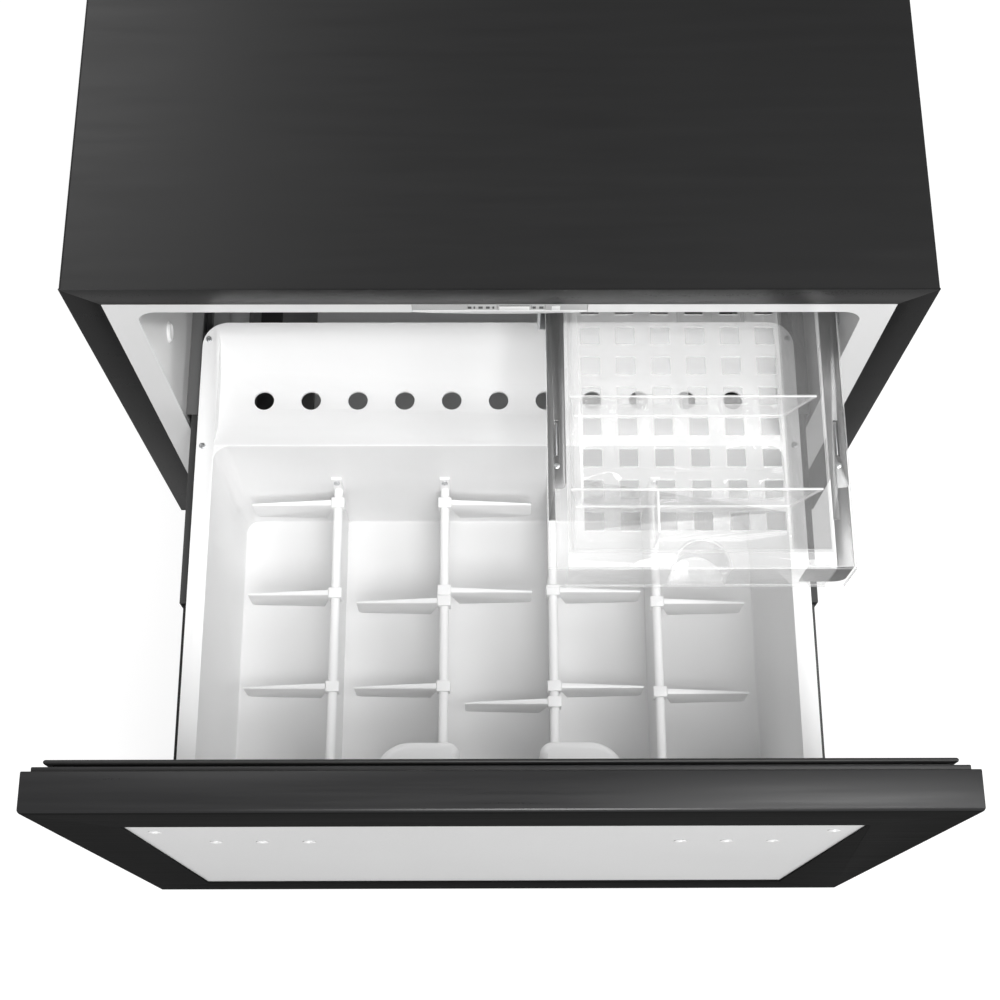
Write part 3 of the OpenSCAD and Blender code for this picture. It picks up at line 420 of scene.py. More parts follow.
SLIDE_BLACK = PowderCoat("slide_black", (0.016, 0.016, 0.016), 0.38, 900.0, 0.00002, 0.3, (40.0, 1.0, 40.0))
WHITE = Moulding("white_moulding", (0.93, 0.93, 0.93), 0.34)
LINER_WHITE = Moulding("liner_white", (0.88, 0.88, 0.88), 0.24, 0.0002, 0.00001, 0.3)
DIVIDER_WHITE = Moulding("divider_white", (0.97, 0.97, 0.97), 0.3, 0.0001)
RAIL_WINDOW = ((34.2 * MM, 48.0 * MM), (236.0 * MM, 249.8 * MM))
CLEAR = Crystal("tray_crystal", (0.97, 0.97, 0.97), 0.06, 0.24, window=RAIL_WINDOW)
# Painted highlight: the tray's thin edge faces get a larger share of white, standing in for the bright
# glints that light makes along clear edges
CLEAR_GLINT_EDGE = Crystal("tray_crystal_painted_glint", (1.0, 1.0, 1.0), 0.1, 0.5)
# Painted shade: a darker copy of the clear finish, with a dark grey share, for the leaning walls on the
# tray's right side only
CLEAR_SHADED_SIDE = Crystal("tray_crystal_painted_shade", (0.3, 0.3, 0.3), 0.1, 0.38)
ZINC = BareMetal("zinc_steel", (0.66, 0.67, 0.68), 0.3)
RAIL_STEEL = BareMetal("rail_steel", (0.25, 0.25, 0.25), 0.34, (60.0, 1.0, 60.0), 0.000012, 0.05)
GALVANISED = BareMetal("galvanised_sheet", (0.6, 0.62, 0.63), 0.42, (2.0, 2.0, 2.0), 0.00003, 0.6)
FIN_ALUMINIUM = BareMetal("fin_aluminium", (0.8, 0.81, 0.82), 0.34, (8.0, 8.0, 1.0), 0.00001, 0.2)
PIPE_BLACK = PowderCoat("pipe_black", (0.02, 0.02, 0.02), 0.45, 700.0, 0.00004, 0.2, (3.0, 3.0, 3.0))
GASKET_RUBBER = Elastomer("gasket_rubber", (0.018, 0.018, 0.018), 0.42)
FOOT_RUBBER = Elastomer("foot_rubber", (0.02, 0.02, 0.02), 0.62)
SATIN_BLACK = Elastomer("satin_black_plastic", (0.018, 0.018, 0.019), 0.4)
EDGE_TAPE = Elastomer("edge_tape", (0.02, 0.02, 0.02), 0.5)
PANEL_GREY = Moulding("control_grey", (0.52, 0.52, 0.52), 0.3, 0.00005)
KEY_GREY = Moulding("key_grey", (0.58, 0.58, 0.58), 0.3, 0.00005)
MARK_GREY = Moulding("mark_grey", (0.06, 0.06, 0.06), 0.35, 0.00005)
FRONT_SHEET = StippledSheet("front_sheet_grey", (0.71, 0.71, 0.71), 0.46)
FOAM_TAN = Foam("foam_tan", (0.85, 0.74, 0.5), 0.85)
SOLDER_MASK = Moulding("solder_mask", (0.03, 0.2, 0.08), 0.35, 0.00004, 0.00001, 0.5)
LENS_FROST = Frost("lens_frost", (0.92, 0.94, 0.95), 0.4)


def node_finish(finish: Finish, *nodes: str) -> None:
    """Gives CAD nodes a finish, in each of their material slots."""
    for name in nodes:
        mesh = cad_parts[name].data
        mesh.materials.clear()
        mesh.materials.append(finish.material())


# Modelling as by hand


def new_object(name: str, data: bpy.types.ID) -> Object:
    """A new object in the scene, for a mesh, lamp or camera."""
    made = bpy.data.objects.new(name, data)
    bpy.context.scene.collection.objects.link(made)
    return made


def deselect() -> None:
    """Leaves object mode with nothing selected."""
    if bpy.context.mode != "OBJECT":
        bpy.ops.object.mode_set(mode="OBJECT")
    bpy.ops.object.select_all(action="DESELECT")


def take(*objects: Object) -> None:
    """Selects these objects only, with the first one active."""
    deselect()
    for one in objects:
        one.select_set(True)
    bpy.context.view_layer.objects.active = objects[0]


@contextmanager
def editing(piece: Object) -> Iterator[bmesh.types.BMesh]:
    """Edit mode on a piece with nothing selected; yields its edit mesh."""
    take(piece)
    bpy.ops.object.mode_set(mode="EDIT")
    bpy.ops.mesh.select_mode(type="FACE")
    bpy.ops.mesh.select_all(action="DESELECT")
    yield bmesh.from_edit_mesh(piece.data)
    bpy.ops.object.mode_set(mode="OBJECT")


def pick(mesh: bmesh.types.BMesh, kind: str, test: Callable[[object], bool]) -> None:
    """Selects the faces or edges that pass a test.

    Args:
        mesh: The edit mesh.
        kind: FACE or EDGE.
        test: What they have to pass.
    """
    bpy.ops.mesh.select_mode(type=kind)
    bpy.ops.mesh.select_all(action="DESELECT")
    for one in filter(test, mesh.faces if kind == "FACE" else mesh.edges):
        one.select_set(True)


def round_over(radius: float, segments: int = 5) -> None:
    """Rounds the selected edges in edit mode."""
    bpy.ops.mesh.bevel(offset=radius, segments=segments, affect="EDGES", clamp_overlap=True)


def looks_up(face: bmesh.types.BMFace) -> bool:
    """Whether a face looks along +Z."""
    return face.normal.z > 0.9


def shape_top(piece: Object, rim: float, rise: float, taper: float = 1.0) -> None:
    """Narrows a turned piece's top, insets it and moves the inner face along Z.

    Args:
        piece: The piece, standing on the origin.
        rim: The inset's width.
        rise: How far the inner face moves up.
        taper: The top's share of its width that is kept.
    """
    with editing(piece) as mesh:
        pick(mesh, "FACE", looks_up)
        bpy.ops.transform.resize(value=(taper, taper, 1), center_override=(0, 0, 0))
        bpy.ops.mesh.inset(thickness=rim, depth=0)
        bpy.ops.transform.translate(value=(0, 0, rise))


def added(name: str) -> Object:
    """The piece that was just added, named, with its place, turn and scale moved into its mesh."""
    piece = bpy.context.active_object
    piece.name = piece.data.name = name
    take(piece)
    bpy.ops.object.transform_apply(location=True, rotation=True, scale=True)
    return piece


def block(name: str, x: Span, y: Span, z: Span) -> Object:
    """A cube stretched to a box, as the start of a piece."""
    deselect()
    centre = [(span[0] + span[1]) / 2 for span in (x, y, z)]
    bpy.ops.mesh.primitive_cube_add(size=1, location=centre, scale=[s[1] - s[0] for s in (x, y, z)])
    return added(name)


def disc(name: str, radius: float, height: float, sides: int = 32) -> Object:
    """A cylinder that stands on the origin, as the start of a turned piece."""
    deselect()
    bpy.ops.mesh.primitive_cylinder_add(
        vertices=sides, radius=radius, depth=height, location=(0, 0, height / 2), end_fill_type="NGON"
    )
    return added(name)


def soften(piece: Object, width: float, segments: int = 2, angle: float = 35.0) -> None:
    """Bevels a piece's sharp edges and smooths its faces.

    Args:
        piece: The piece.
        width: The bevel's width in metres.
        segments: The faces across a bevel.
        angle: The least angle of an edge that counts as sharp, in degrees.
    """
    bevel = piece.modifiers.new("soft_edges", "BEVEL")
    bevel.width = width
    bevel.segments = segments
    bevel.limit_method = "ANGLE"
    bevel.angle_limit = math.radians(angle)
    bevel.use_clamp_overlap = True
    bevel.miter_outer = "MITER_ARC"
    take(piece)
    bpy.ops.object.modifier_apply(modifier=bevel.name)
    bpy.ops.object.shade_smooth_by_angle(angle=math.radians(32))


def cut(piece: Object, cutter: Object, operation: str = "DIFFERENCE") -> None:
    """Takes the cutter's shape out of a piece, or keeps only what both share, and deletes the cutter."""
    boolean = piece.modifiers.new("cut", "BOOLEAN")
    boolean.operation = operation
    boolean.solver = "EXACT"
    boolean.object = cutter
    take(piece)
    bpy.ops.object.modifier_apply(modifier=boolean.name)
    bpy.data.objects.remove(cutter)


def joined(name: str, pieces: Sequence[Object]) -> Object:
    """Joins pieces into one under a name."""
    if len(pieces) > 1:
        take(*pieces)
        bpy.ops.object.join()
    pieces[0].name = pieces[0].data.name = name
    return pieces[0]


def copies(master: Object, name: str, places: Sequence[Sequence[float]], axis: Axis = Axis.UP) -> Object:
    """Sets a copy of a master at each place, turned to an axis, and joins them.

    Args:
        master: A piece modelled at the origin along +Z. It is deleted.
        name: The joined piece's name.
        places: Where the copies' origins go.
        axis: Where their +Z points.

    Returns:
        The joined piece.
    """
    made = []
    for place in places:
        one = new_object(name, master.data.copy())
        one.data.transform(Matrix.Translation(place) @ axis.turn())
        made.append(one)
    bpy.data.objects.remove(master)
    return joined(name, made)


def copy_of(node: str, name: str) -> Object:
    """A piece that starts as a copy of a CAD node, its loose triangles merged into whole faces."""
    piece = new_object(name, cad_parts[node].data.copy())
    piece.data.name = name
    with editing(piece):
        bpy.ops.mesh.select_all(action="SELECT")
        bpy.ops.mesh.remove_doubles(threshold=1e-6)
        bpy.ops.mesh.dissolve_limited(angle_limit=math.radians(0.4))
    return piece


def solids_of(node: str) -> list[tuple[Vector, Vector]]:
    """The boxes of a CAD node's separate solids, sorted by their low corners."""
    mesh = bmesh.new()
    mesh.from_mesh(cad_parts[node].data)
    bmesh.ops.remove_doubles(mesh, verts=mesh.verts, dist=1e-6)
    boxes, seen = [], set()
    for start in mesh.verts:
        group, queue = [], [start]
        while queue:
            vert = queue.pop()
            if vert not in seen:
                seen.add(vert)
                group.append(vert.co.copy())
                queue += [edge.other_vert(vert) for edge in vert.link_edges]
        if group:
            low, high = (Vector([bound(values) for values in zip(*group)]) for bound in (min, max))
            boxes.append((low, high))
    mesh.free()
    return sorted(boxes, key=lambda pair: tuple(round(value, 5) for value in pair[0]))


def hand_over(piece: Object, body: Union[Body, str], finish: Finish, slot: str, *nodes: str) -> Object:
    """Gives a finished piece its material and body, and the CAD nodes that it stands for.

    Args:
        piece: The piece.
        body: The body that it rides on.
        finish: Its finish.
        slot: The record's material slot; not used.
        nodes: The CAD nodes that it replaces, if any.

    Returns:
        The piece.
    """
    piece.data.materials.clear()
    piece.data.materials.append(finish.material())
    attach(piece, body.value if isinstance(body, Body) else body)
    if nodes:
        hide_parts(*nodes)
    LOG.info("%s: %d faces", piece.name, len(piece.data.polygons))
    return piece


def softened(
    node: str, body: Union[Body, str], finish: Finish, slot: str, width: float, segments: int = 2
) -> Object:
    """A copy of a CAD node with softened edges, which takes its place."""
    piece = copy_of(node, node + "_finished")
    soften(piece, width, segments)
    return hand_over(piece, body, finish, slot, node)


def extra_finish(piece: Object, finish: Finish, test: Callable[[Polygon], bool]) -> None:
    """Gives a piece one more finish, on the faces that pass a test."""
    piece.data.materials.append(finish.material())
    for face in piece.data.polygons:
        if test(face):
            face.material_index = len(piece.data.materials) - 1


def breadth(piece: Object, face: Polygon) -> float:
    """A face's area for each metre of its longest side."""
    corners = [piece.data.vertices[index].co for index in face.vertices]
    longest = max((a - b).length for a, b in zip(corners, corners[1:] + corners[:1]))
    return face.area / longest


# Fittings


@dataclass
class CrossScrew:
    """Pan-head screw with a cross recess."""

    head_r: float = 2.4 * MM
    head_h: float = 1.5 * MM
    recess_w: float = 0.55 * MM
    recess_l: float = 2.6 * MM
    crown: float = 0.12 * MM
    dome: Span = (0.35, 0.12)
    recess_z: Span = (0.4, 2.0)

    def model(self) -> Object:
        """One screw head at the origin, its crown towards +Z."""
        head = disc("screw_head", self.head_r, self.head_h, 28)
        shape_top(head, self.head_r * self.dome[0], self.head_h * self.dome[1])
        long, short = ((-size / 2, size / 2) for size in (self.recess_l, self.recess_w))
        height = tuple(self.head_h * share for share in self.recess_z)
        arms = [block("cross", x, y, height) for x, y in ((long, short), (short, long))]
        for arm in arms:
            cut(head, arm)
        soften(head, self.crown, 1 if self.crown < 0.2 * MM else 3, 40)
        return head


@dataclass
class Cabinet:
    """Steel sheets, front frame, liner, feet and what stands in the cavity."""

    edge: float = 0.5 * MM
    lip_screw_inset: float = 6.0 * MM
    guide_t: float = 2.0 * MM
    runner: Span = (203.0 * MM, 225.0 * MM)
    plug_taper: float = 0.72
    plug_rim: float = 1.4 * MM
    plug_dish: float = 0.8 * MM
    lip_screw_x: Sequence[float] = (-0.27, -0.135, 0.0, 0.135, 0.27)
    lip_screw_z: Sequence[float] = (0.09, 0.24, 0.38)

    def build(self) -> None:
        """Dresses the cabinet and adds its screws."""
        node_finish(COAT, "outer_shell", "base_plate")
        node_finish(FOAM_TAN, "foam_body")
        node_finish(LINER_WHITE, "liner")
        node_finish(FOOT_RUBBER, "levelling_feet")
        node_finish(GALVANISED, "back_plate")
        self.guides()
        for side in ("left", "right", "top", "bottom"):
            softened("front_frame_" + side, Body.CABINET, FRAME_COAT, "black_paint", self.edge)
        self.plugs()
        self.rear_screws()

    def guides(self) -> None:
        """Floor guides, grey with a black runner on each."""
        guides = softened("floor_guides", Body.CABINET, GUIDE_GREY, "dark_steel", 0.3 * MM)
        low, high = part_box("floor_guides")
        runner = self.runner

        def on_runner(face: Polygon) -> bool:
            """Whether a face belongs to the runner on a guide's base."""
            over_base = face.center.z > low.z + self.guide_t + SLACK
            return runner[0] < abs(face.center.x) < runner[1] and over_base

        extra_finish(guides, SLIDE_GREY, on_runner)

    def plugs(self) -> None:
        """Blind plugs in the left wall, each with a dished face."""
        faces = []
        for low, high in solids_of("wall_plugs"):
            plug = disc("plug", (high.z - low.z) / 2, high.x - low.x, 36)
            shape_top(plug, self.plug_rim, -self.plug_dish, self.plug_taper)
            soften(plug, 0.3 * MM, 2)
            middle = (low.x, (low.y + high.y) / 2, (low.z + high.z) / 2)
            faces.append(copies(plug, "plug_set", [middle], Axis.RIGHT))
        hand_over(joined("blind_plugs", faces), Body.CABINET, WHITE, "white_plastic", "wall_plugs")

    def rear_screws(self) -> None:
        """Screws that hold the shell's rear lip."""
        low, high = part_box("outer_shell")
        y = high.y
        inset = self.lip_screw_inset
        rows = [(x, y, high.z - inset) for x in self.lip_screw_x]
        rows += [(side * (high.x - inset), y, z) for side in (-1, 1) for z in self.lip_screw_z]
        screw = CrossScrew(3.2 * MM, 1.6 * MM, 0.7 * MM, 3.4 * MM).model()
        screws = copies(screw, "lip_screws", rows, Axis.REAR)
        hand_over(screws, Body.CABINET, ZINC, "bare_steel")


@dataclass
class ControlUnit:
    """Lamp and keys in the flange above the mouth."""

    rib_pitch: float = 3.0 * MM
    rib_h: float = 0.5 * MM
    lip_z: float = 433.2 * MM
    lip_t: float = 0.3 * MM
    lip_shift: float = 0.2 * MM
    pane_y: Span = (-0.25 * MM, 0.3 * MM)
    pane_gap: float = 1.2 * MM
    shade_y: Span = (-0.15 * MM, 0.3 * MM)
    shade_h: float = 1.0 * MM
    mark_y: Span = (-0.12 * MM, 0.2 * MM)
    mark_h: float = 3.4 * MM
    window_x: Span = (-0.4 * MM, 20.4 * MM)
    small_window_x: Span = (35.8 * MM, 41.6 * MM)
    # Left ends and lengths in millimetres
    key_marks: Sequence[Span] = ((-22.0, 2.4), (-18.2, 1.2), (-14.8, 3.0), (-9.6, 2.6), (-5.2, 1.4))
    lamp_marks: Sequence[Span] = ((22.6, 2.2), (27.2, 3.0))

    def build(self) -> None:
        """Dresses the unit and adds its lip, windows, marks and the lens's ribs."""
        softened("lamp_housing", Body.CABINET, PANEL_GREY, "white_plastic", 0.3 * MM)
        softened("temperature_button", "temperature_key", KEY_GREY, "grey_plastic", 0.35 * MM)
        softened("lamp_button", "lamp_key", KEY_GREY, "grey_plastic", 0.35 * MM)
        node_finish(SOLDER_MASK, "lamp_board")
        self.lens()
        self.lip()
        self.windows()
        self.marks("temperature_button", "temperature_key", self.key_marks)
        self.marks("lamp_button", "lamp_key", self.lamp_marks)

    def lip(self) -> None:
        """White bowed lip along the housing's lower edge."""
        low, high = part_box("lamp_housing")
        lip = copy_of("lamp_housing", "housing_lip")
        keep = block(
            "keep", (low.x - MM, high.x + MM), (low.y - MM, low.y + self.lip_t), (low.z - MM, self.lip_z)
        )
        cut(lip, keep, "INTERSECT")
        lip.data.transform(Matrix.Translation((0, -self.lip_shift, 0)))
        soften(lip, 0.1 * MM, 1)
        hand_over(lip, Body.CABINET, WHITE, "white_plastic")

    def windows(self) -> None:
        """White windows between the keys and beside them."""
        low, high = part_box("temperature_button")
        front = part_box("lamp_housing")[0].y
        pane_y, shade_y = (tuple(front + y for y in span) for span in (self.pane_y, self.shade_y))
        panes = []
        for span in (self.window_x, self.small_window_x):
            pane = block("pane", span, pane_y, (low.z, high.z - self.pane_gap))
            soften(pane, 0.2 * MM, 2)
            panes.append(pane)
        hand_over(joined("indicator_panes", panes), Body.CABINET, WHITE, "white_plastic")
        strip = block("window_shade", self.window_x, shade_y, (high.z - self.shade_h, high.z))
        soften(strip, 0.1 * MM, 1)
        hand_over(strip, Body.CABINET, MARK_GREY, "black_plastic")

    def lens(self) -> None:
        """The lens, its lower face drawn into prismatic ribs."""
        low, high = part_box("lamp_lens")
        ribs = int((high.x - low.x) / self.rib_pitch)
        step = (high.x - low.x) / ribs
        centre = ((low.x + high.x) / 2, (low.y + high.y) / 2, low.z)
        deselect()
        bpy.ops.mesh.primitive_grid_add(x_subdivisions=ribs * 2, y_subdivisions=1, size=1, location=centre)
        bpy.ops.transform.resize(value=(high.x - low.x, high.y - low.y, 1), center_override=centre)
        lens = added("lamp_lens_ribbed")
        with editing(lens) as mesh:
            bpy.ops.mesh.select_mode(type="VERT")
            for vert in mesh.verts:
                vert.select_set(round((vert.co.x - low.x) / (step / 2)) % 2 == 1)
            bpy.ops.transform.translate(value=(0, 0, self.rib_h))
            pick(mesh, "FACE", lambda face: True)
            rise = high.z - low.z - self.rib_h
            bpy.ops.mesh.extrude_region_move(TRANSFORM_OT_translate={"value": (0, 0, rise)})
            bpy.ops.mesh.select_all(action="SELECT")
            bpy.ops.mesh.normals_make_consistent(inside=False)
        soften(lens, 0.12 * MM, 1)
        hand_over(lens, Body.CABINET, LENS_FROST, "lamp_lens", "lamp_lens")

    def marks(self, key: str, body: str, spots: Sequence[Span]) -> None:
        """Small plain bars printed on a key.

        Args:
            key: The key's CAD node.
            body: The body that it rides on.
            spots: Each bar's left end and its length in millimetres.
        """
        low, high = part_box(key)
        middle = (low.z + high.z) / 2
        depth = tuple(low.y + y for y in self.mark_y)
        height = (middle - self.mark_h / 2, middle + self.mark_h / 2)
        bars = []
        for start, length in spots:
            bar = block("bar", (start * MM, (start + length) * MM), depth, height)
            soften(bar, 0.08 * MM, 1)
            bars.append(bar)
        hand_over(joined(key + "_marks", bars), body, MARK_GREY, "black_plastic")


@dataclass
class CoolingUnit:
    """Absorber, boiler, condenser and evaporator with their seams."""

    jacket_r: float = 22.0 * MM
    bead_r: float = 1.3 * MM
    bead_stretch: float = 1.8
    bead_z: Sequence[float] = (0.052, 0.12, 0.2, 0.3)

    def build(self) -> None:
        """Dresses the unit and adds its weld beads."""
        node_finish(PIPE_BLACK, "absorber")
        node_finish(GALVANISED, "boiler")
        node_finish(FIN_ALUMINIUM, "evaporator", "condenser")
        node_finish(SLIDE_BLACK, "unit_brackets")
        softened("mains_inlet", Body.CABINET, SATIN_BLACK, "black_plastic", 0.4 * MM)
        self.jacket_seams()

    def jacket_seams(self) -> None:
        """Rolled seams round the boiler's jacket."""
        low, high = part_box("boiler")
        x, y = high.x - self.jacket_r, high.y - self.jacket_r
        rings = []
        for height in self.bead_z:
            deselect()
            bpy.ops.mesh.primitive_torus_add(
                major_radius=self.jacket_r, minor_radius=self.bead_r, major_segments=64, minor_segments=10,
                location=(x, y, height),
            )
            ring = added("ring")
            with editing(ring):
                bpy.ops.mesh.select_all(action="SELECT")
                bpy.ops.transform.resize(value=(1, 1, self.bead_stretch), center_override=(x, y, height))
            take(ring)
            bpy.ops.object.shade_smooth()
            rings.append(ring)
        hand_over(joined("jacket_seams", rings), Body.CABINET, ZINC, "bare_steel")


@dataclass
class DrawerFront:
    """Framed front with its gasket, grey sheet and screw anchors."""

    plug_r: float = 4 * MM
    flange_r: float = 4.5 * MM
    flange_t: float = 0.35 * MM
    step: float = 0.02 * MM
    bore_r: float = 1.8 * MM

    def build(self) -> None:
        """Dresses the front."""
        front = softened("door_frame", Body.DRAWER, FRONT_COAT, "black_paint", 0.7 * MM)
        low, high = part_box("door_sheet")

        def matt(face: Polygon) -> bool:
            """Whether a face looks to the front or lines the opening."""
            lining = low.x - MM < face.center.x < high.x + MM and low.z - MM < face.center.z < high.z + MM
            return face.normal.y < -0.7 or lining

        extra_finish(front, FRONT_MATT, matt)
        softened("gasket", Body.DRAWER, GASKET_RUBBER, "rubber", 0.4 * MM, 3)
        softened("door_inner_plate", Body.DRAWER, SATIN_BLACK, "black_plastic", 0.6 * MM)
        node_finish(FRONT_SHEET, "door_sheet")
        node_finish(FOAM_TAN, "door_core")
        extra_finish(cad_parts["door_core"], EDGE_TAPE, lambda face: abs(face.normal.y) < 0.7)
        self.anchors()

    def anchors(self) -> None:
        """Anchors with a flange on the sheet and a bored plug behind it."""
        boxes = solids_of("sheet_anchors")
        low, high = boxes[0]
        length = high.y - low.y
        anchor = disc("anchor", (high.x - low.x) / 2, length, 32)
        with editing(anchor) as mesh:
            pick(mesh, "FACE", looks_up)
            bpy.ops.mesh.extrude_region_move(TRANSFORM_OT_translate={"value": (0, 0, self.step)})
            spread = self.flange_r / self.plug_r
            bpy.ops.transform.resize(value=(spread, spread, 1), center_override=(0, 0, length))
            bpy.ops.mesh.extrude_region_move(TRANSFORM_OT_translate={"value": (0, 0, self.flange_t)})
        bore = disc("bore", self.bore_r, length * 3, 24)
        bore.data.transform(Matrix.Translation((0, 0, -length)))
        cut(anchor, bore)
        soften(anchor, 0.25 * MM, 2)
        places = [((lo.x + hi.x) / 2, hi.y, (lo.z + hi.z) / 2) for lo, hi in boxes]
        anchors = copies(anchor, "flanged_anchors", places, Axis.FRONT)
        hand_over(anchors, Body.DRAWER, WHITE, "white_plastic", "sheet_anchors")


@dataclass
class Bin:
    """Bottle bin with its rods, dividers and screws."""

    edge: float = 0.8 * MM
    dividers: int = 12
    wall_t: float = 2.2 * MM
    tab_t: float = 2 * MM
    front_gap: float = 6.4 * MM
    hump_l: float = 47.0 * MM
    hump_x: Span = (30.0 * MM, 94.0 * MM)
    hump_round: float = 6.0 * MM
    floor_round: float = 2.0 * MM
    rim_w: float = 14.0 * MM
    shelf_l: float = 108.0 * MM
    tub_r: float = 12.0 * MM
    web: float = 4.0 * MM
    web_overlap: float = 0.4 * MM
    web_drop: float = 0.15 * MM
    cutter_h: float = 20 * MM

    def build(self) -> None:
        """Dresses the bin, the rods and every divider."""
        self.tub()
        softened("divider_rods", Body.DRAWER, DIVIDER_WHITE, "white_plastic", 0.4 * MM)
        for index in range(1, self.dividers + 1):
            softened(f"divider_{index}", f"divider_body_{index}", DIVIDER_WHITE, "white_plastic", 0.5 * MM)
        self.screws()

    def tub(self) -> None:
        """The bin, with round edges on its front humps and along its floor."""
        piece = copy_of("bin", "bin_finished")
        low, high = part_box("bin")
        floor_z, wall_y = low.z + self.wall_t, low.y + self.front_gap

        def on_hump(vert: bmesh.types.BMVert) -> bool:
            """Whether a corner lies on a hump's upper outline."""
            in_x = self.hump_x[0] - SLACK < abs(vert.co.x) < self.hump_x[1] + SLACK
            return in_x and vert.co.y < low.y + self.hump_l + SLACK and abs(vert.co.z - high.z) < SLACK

        def free(edge: bmesh.types.BMEdge) -> bool:
            """Whether an edge belongs to a hump's outline away from the front wall."""
            return all(on_hump(v) for v in edge.verts) and any(v.co.y > wall_y + SLACK for v in edge.verts)

        with editing(piece) as mesh:
            pick(mesh, "EDGE", free)
            round_over(self.hump_round)
            pick(mesh, "EDGE", lambda edge: all(abs(v.co.z - floor_z) < SLACK / 2 for v in edge.verts))
            round_over(self.floor_round)
        soften(piece, self.edge, 3)
        hand_over(piece, Body.DRAWER, WHITE, "white_plastic", "bin")
        self.corner_webs()

    def corner_webs(self) -> None:
        """Webs that close the gap between the rim's square corners and the tub's round ones."""
        low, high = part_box("bin")
        x, top = high.x - self.rim_w, high.z - self.web_drop
        webs = []
        for side in (-1, 1):
            for y, inward in ((low.y + self.front_gap - self.wall_t, 1), (high.y - self.shelf_l, -1)):
                ends = sorted((side * (x + self.web_overlap), side * (x - self.web)))
                run = sorted((y - inward * self.web_overlap, y + inward * self.web))
                web = block("web", tuple(ends), tuple(run), (top - 2 * self.wall_t, top))
                round_cut = disc("round_cut", self.tub_r, self.cutter_h, 64)
                centre = (side * (x - self.tub_r), y + inward * self.tub_r, top - self.cutter_h / 2)
                round_cut.data.transform(Matrix.Translation(centre))
                cut(web, round_cut)
                webs.append(web)
        hand_over(joined("corner_webs", webs), Body.DRAWER, WHITE, "white_plastic")

    def screws(self) -> None:
        """Cross-head screws in the rim and in the rods' rear tabs."""
        rim_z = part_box("bin")[1].z
        on_rim, on_tabs = [], []
        for low, high in solids_of("bin_screws"):
            middle = (low + high) / 2
            if high.z > rim_z:
                on_rim.append((middle.x, middle.y, rim_z))
            else:
                on_tabs.append((middle.x, high.y - self.tab_t, middle.z))
        domed = CrossScrew(2.3 * MM, 1.6 * MM, 0.4 * MM, 1.6 * MM, 0.5 * MM)
        rim = copies(domed.model(), "rim_heads", on_rim)
        tabs = copies(CrossScrew(2.6 * MM, 1.6 * MM).model(), "tab_heads", on_tabs, Axis.FRONT)
        hand_over(joined("bin_screw_heads", [rim, tabs]), Body.DRAWER, ZINC, "bare_steel", "bin_screws")


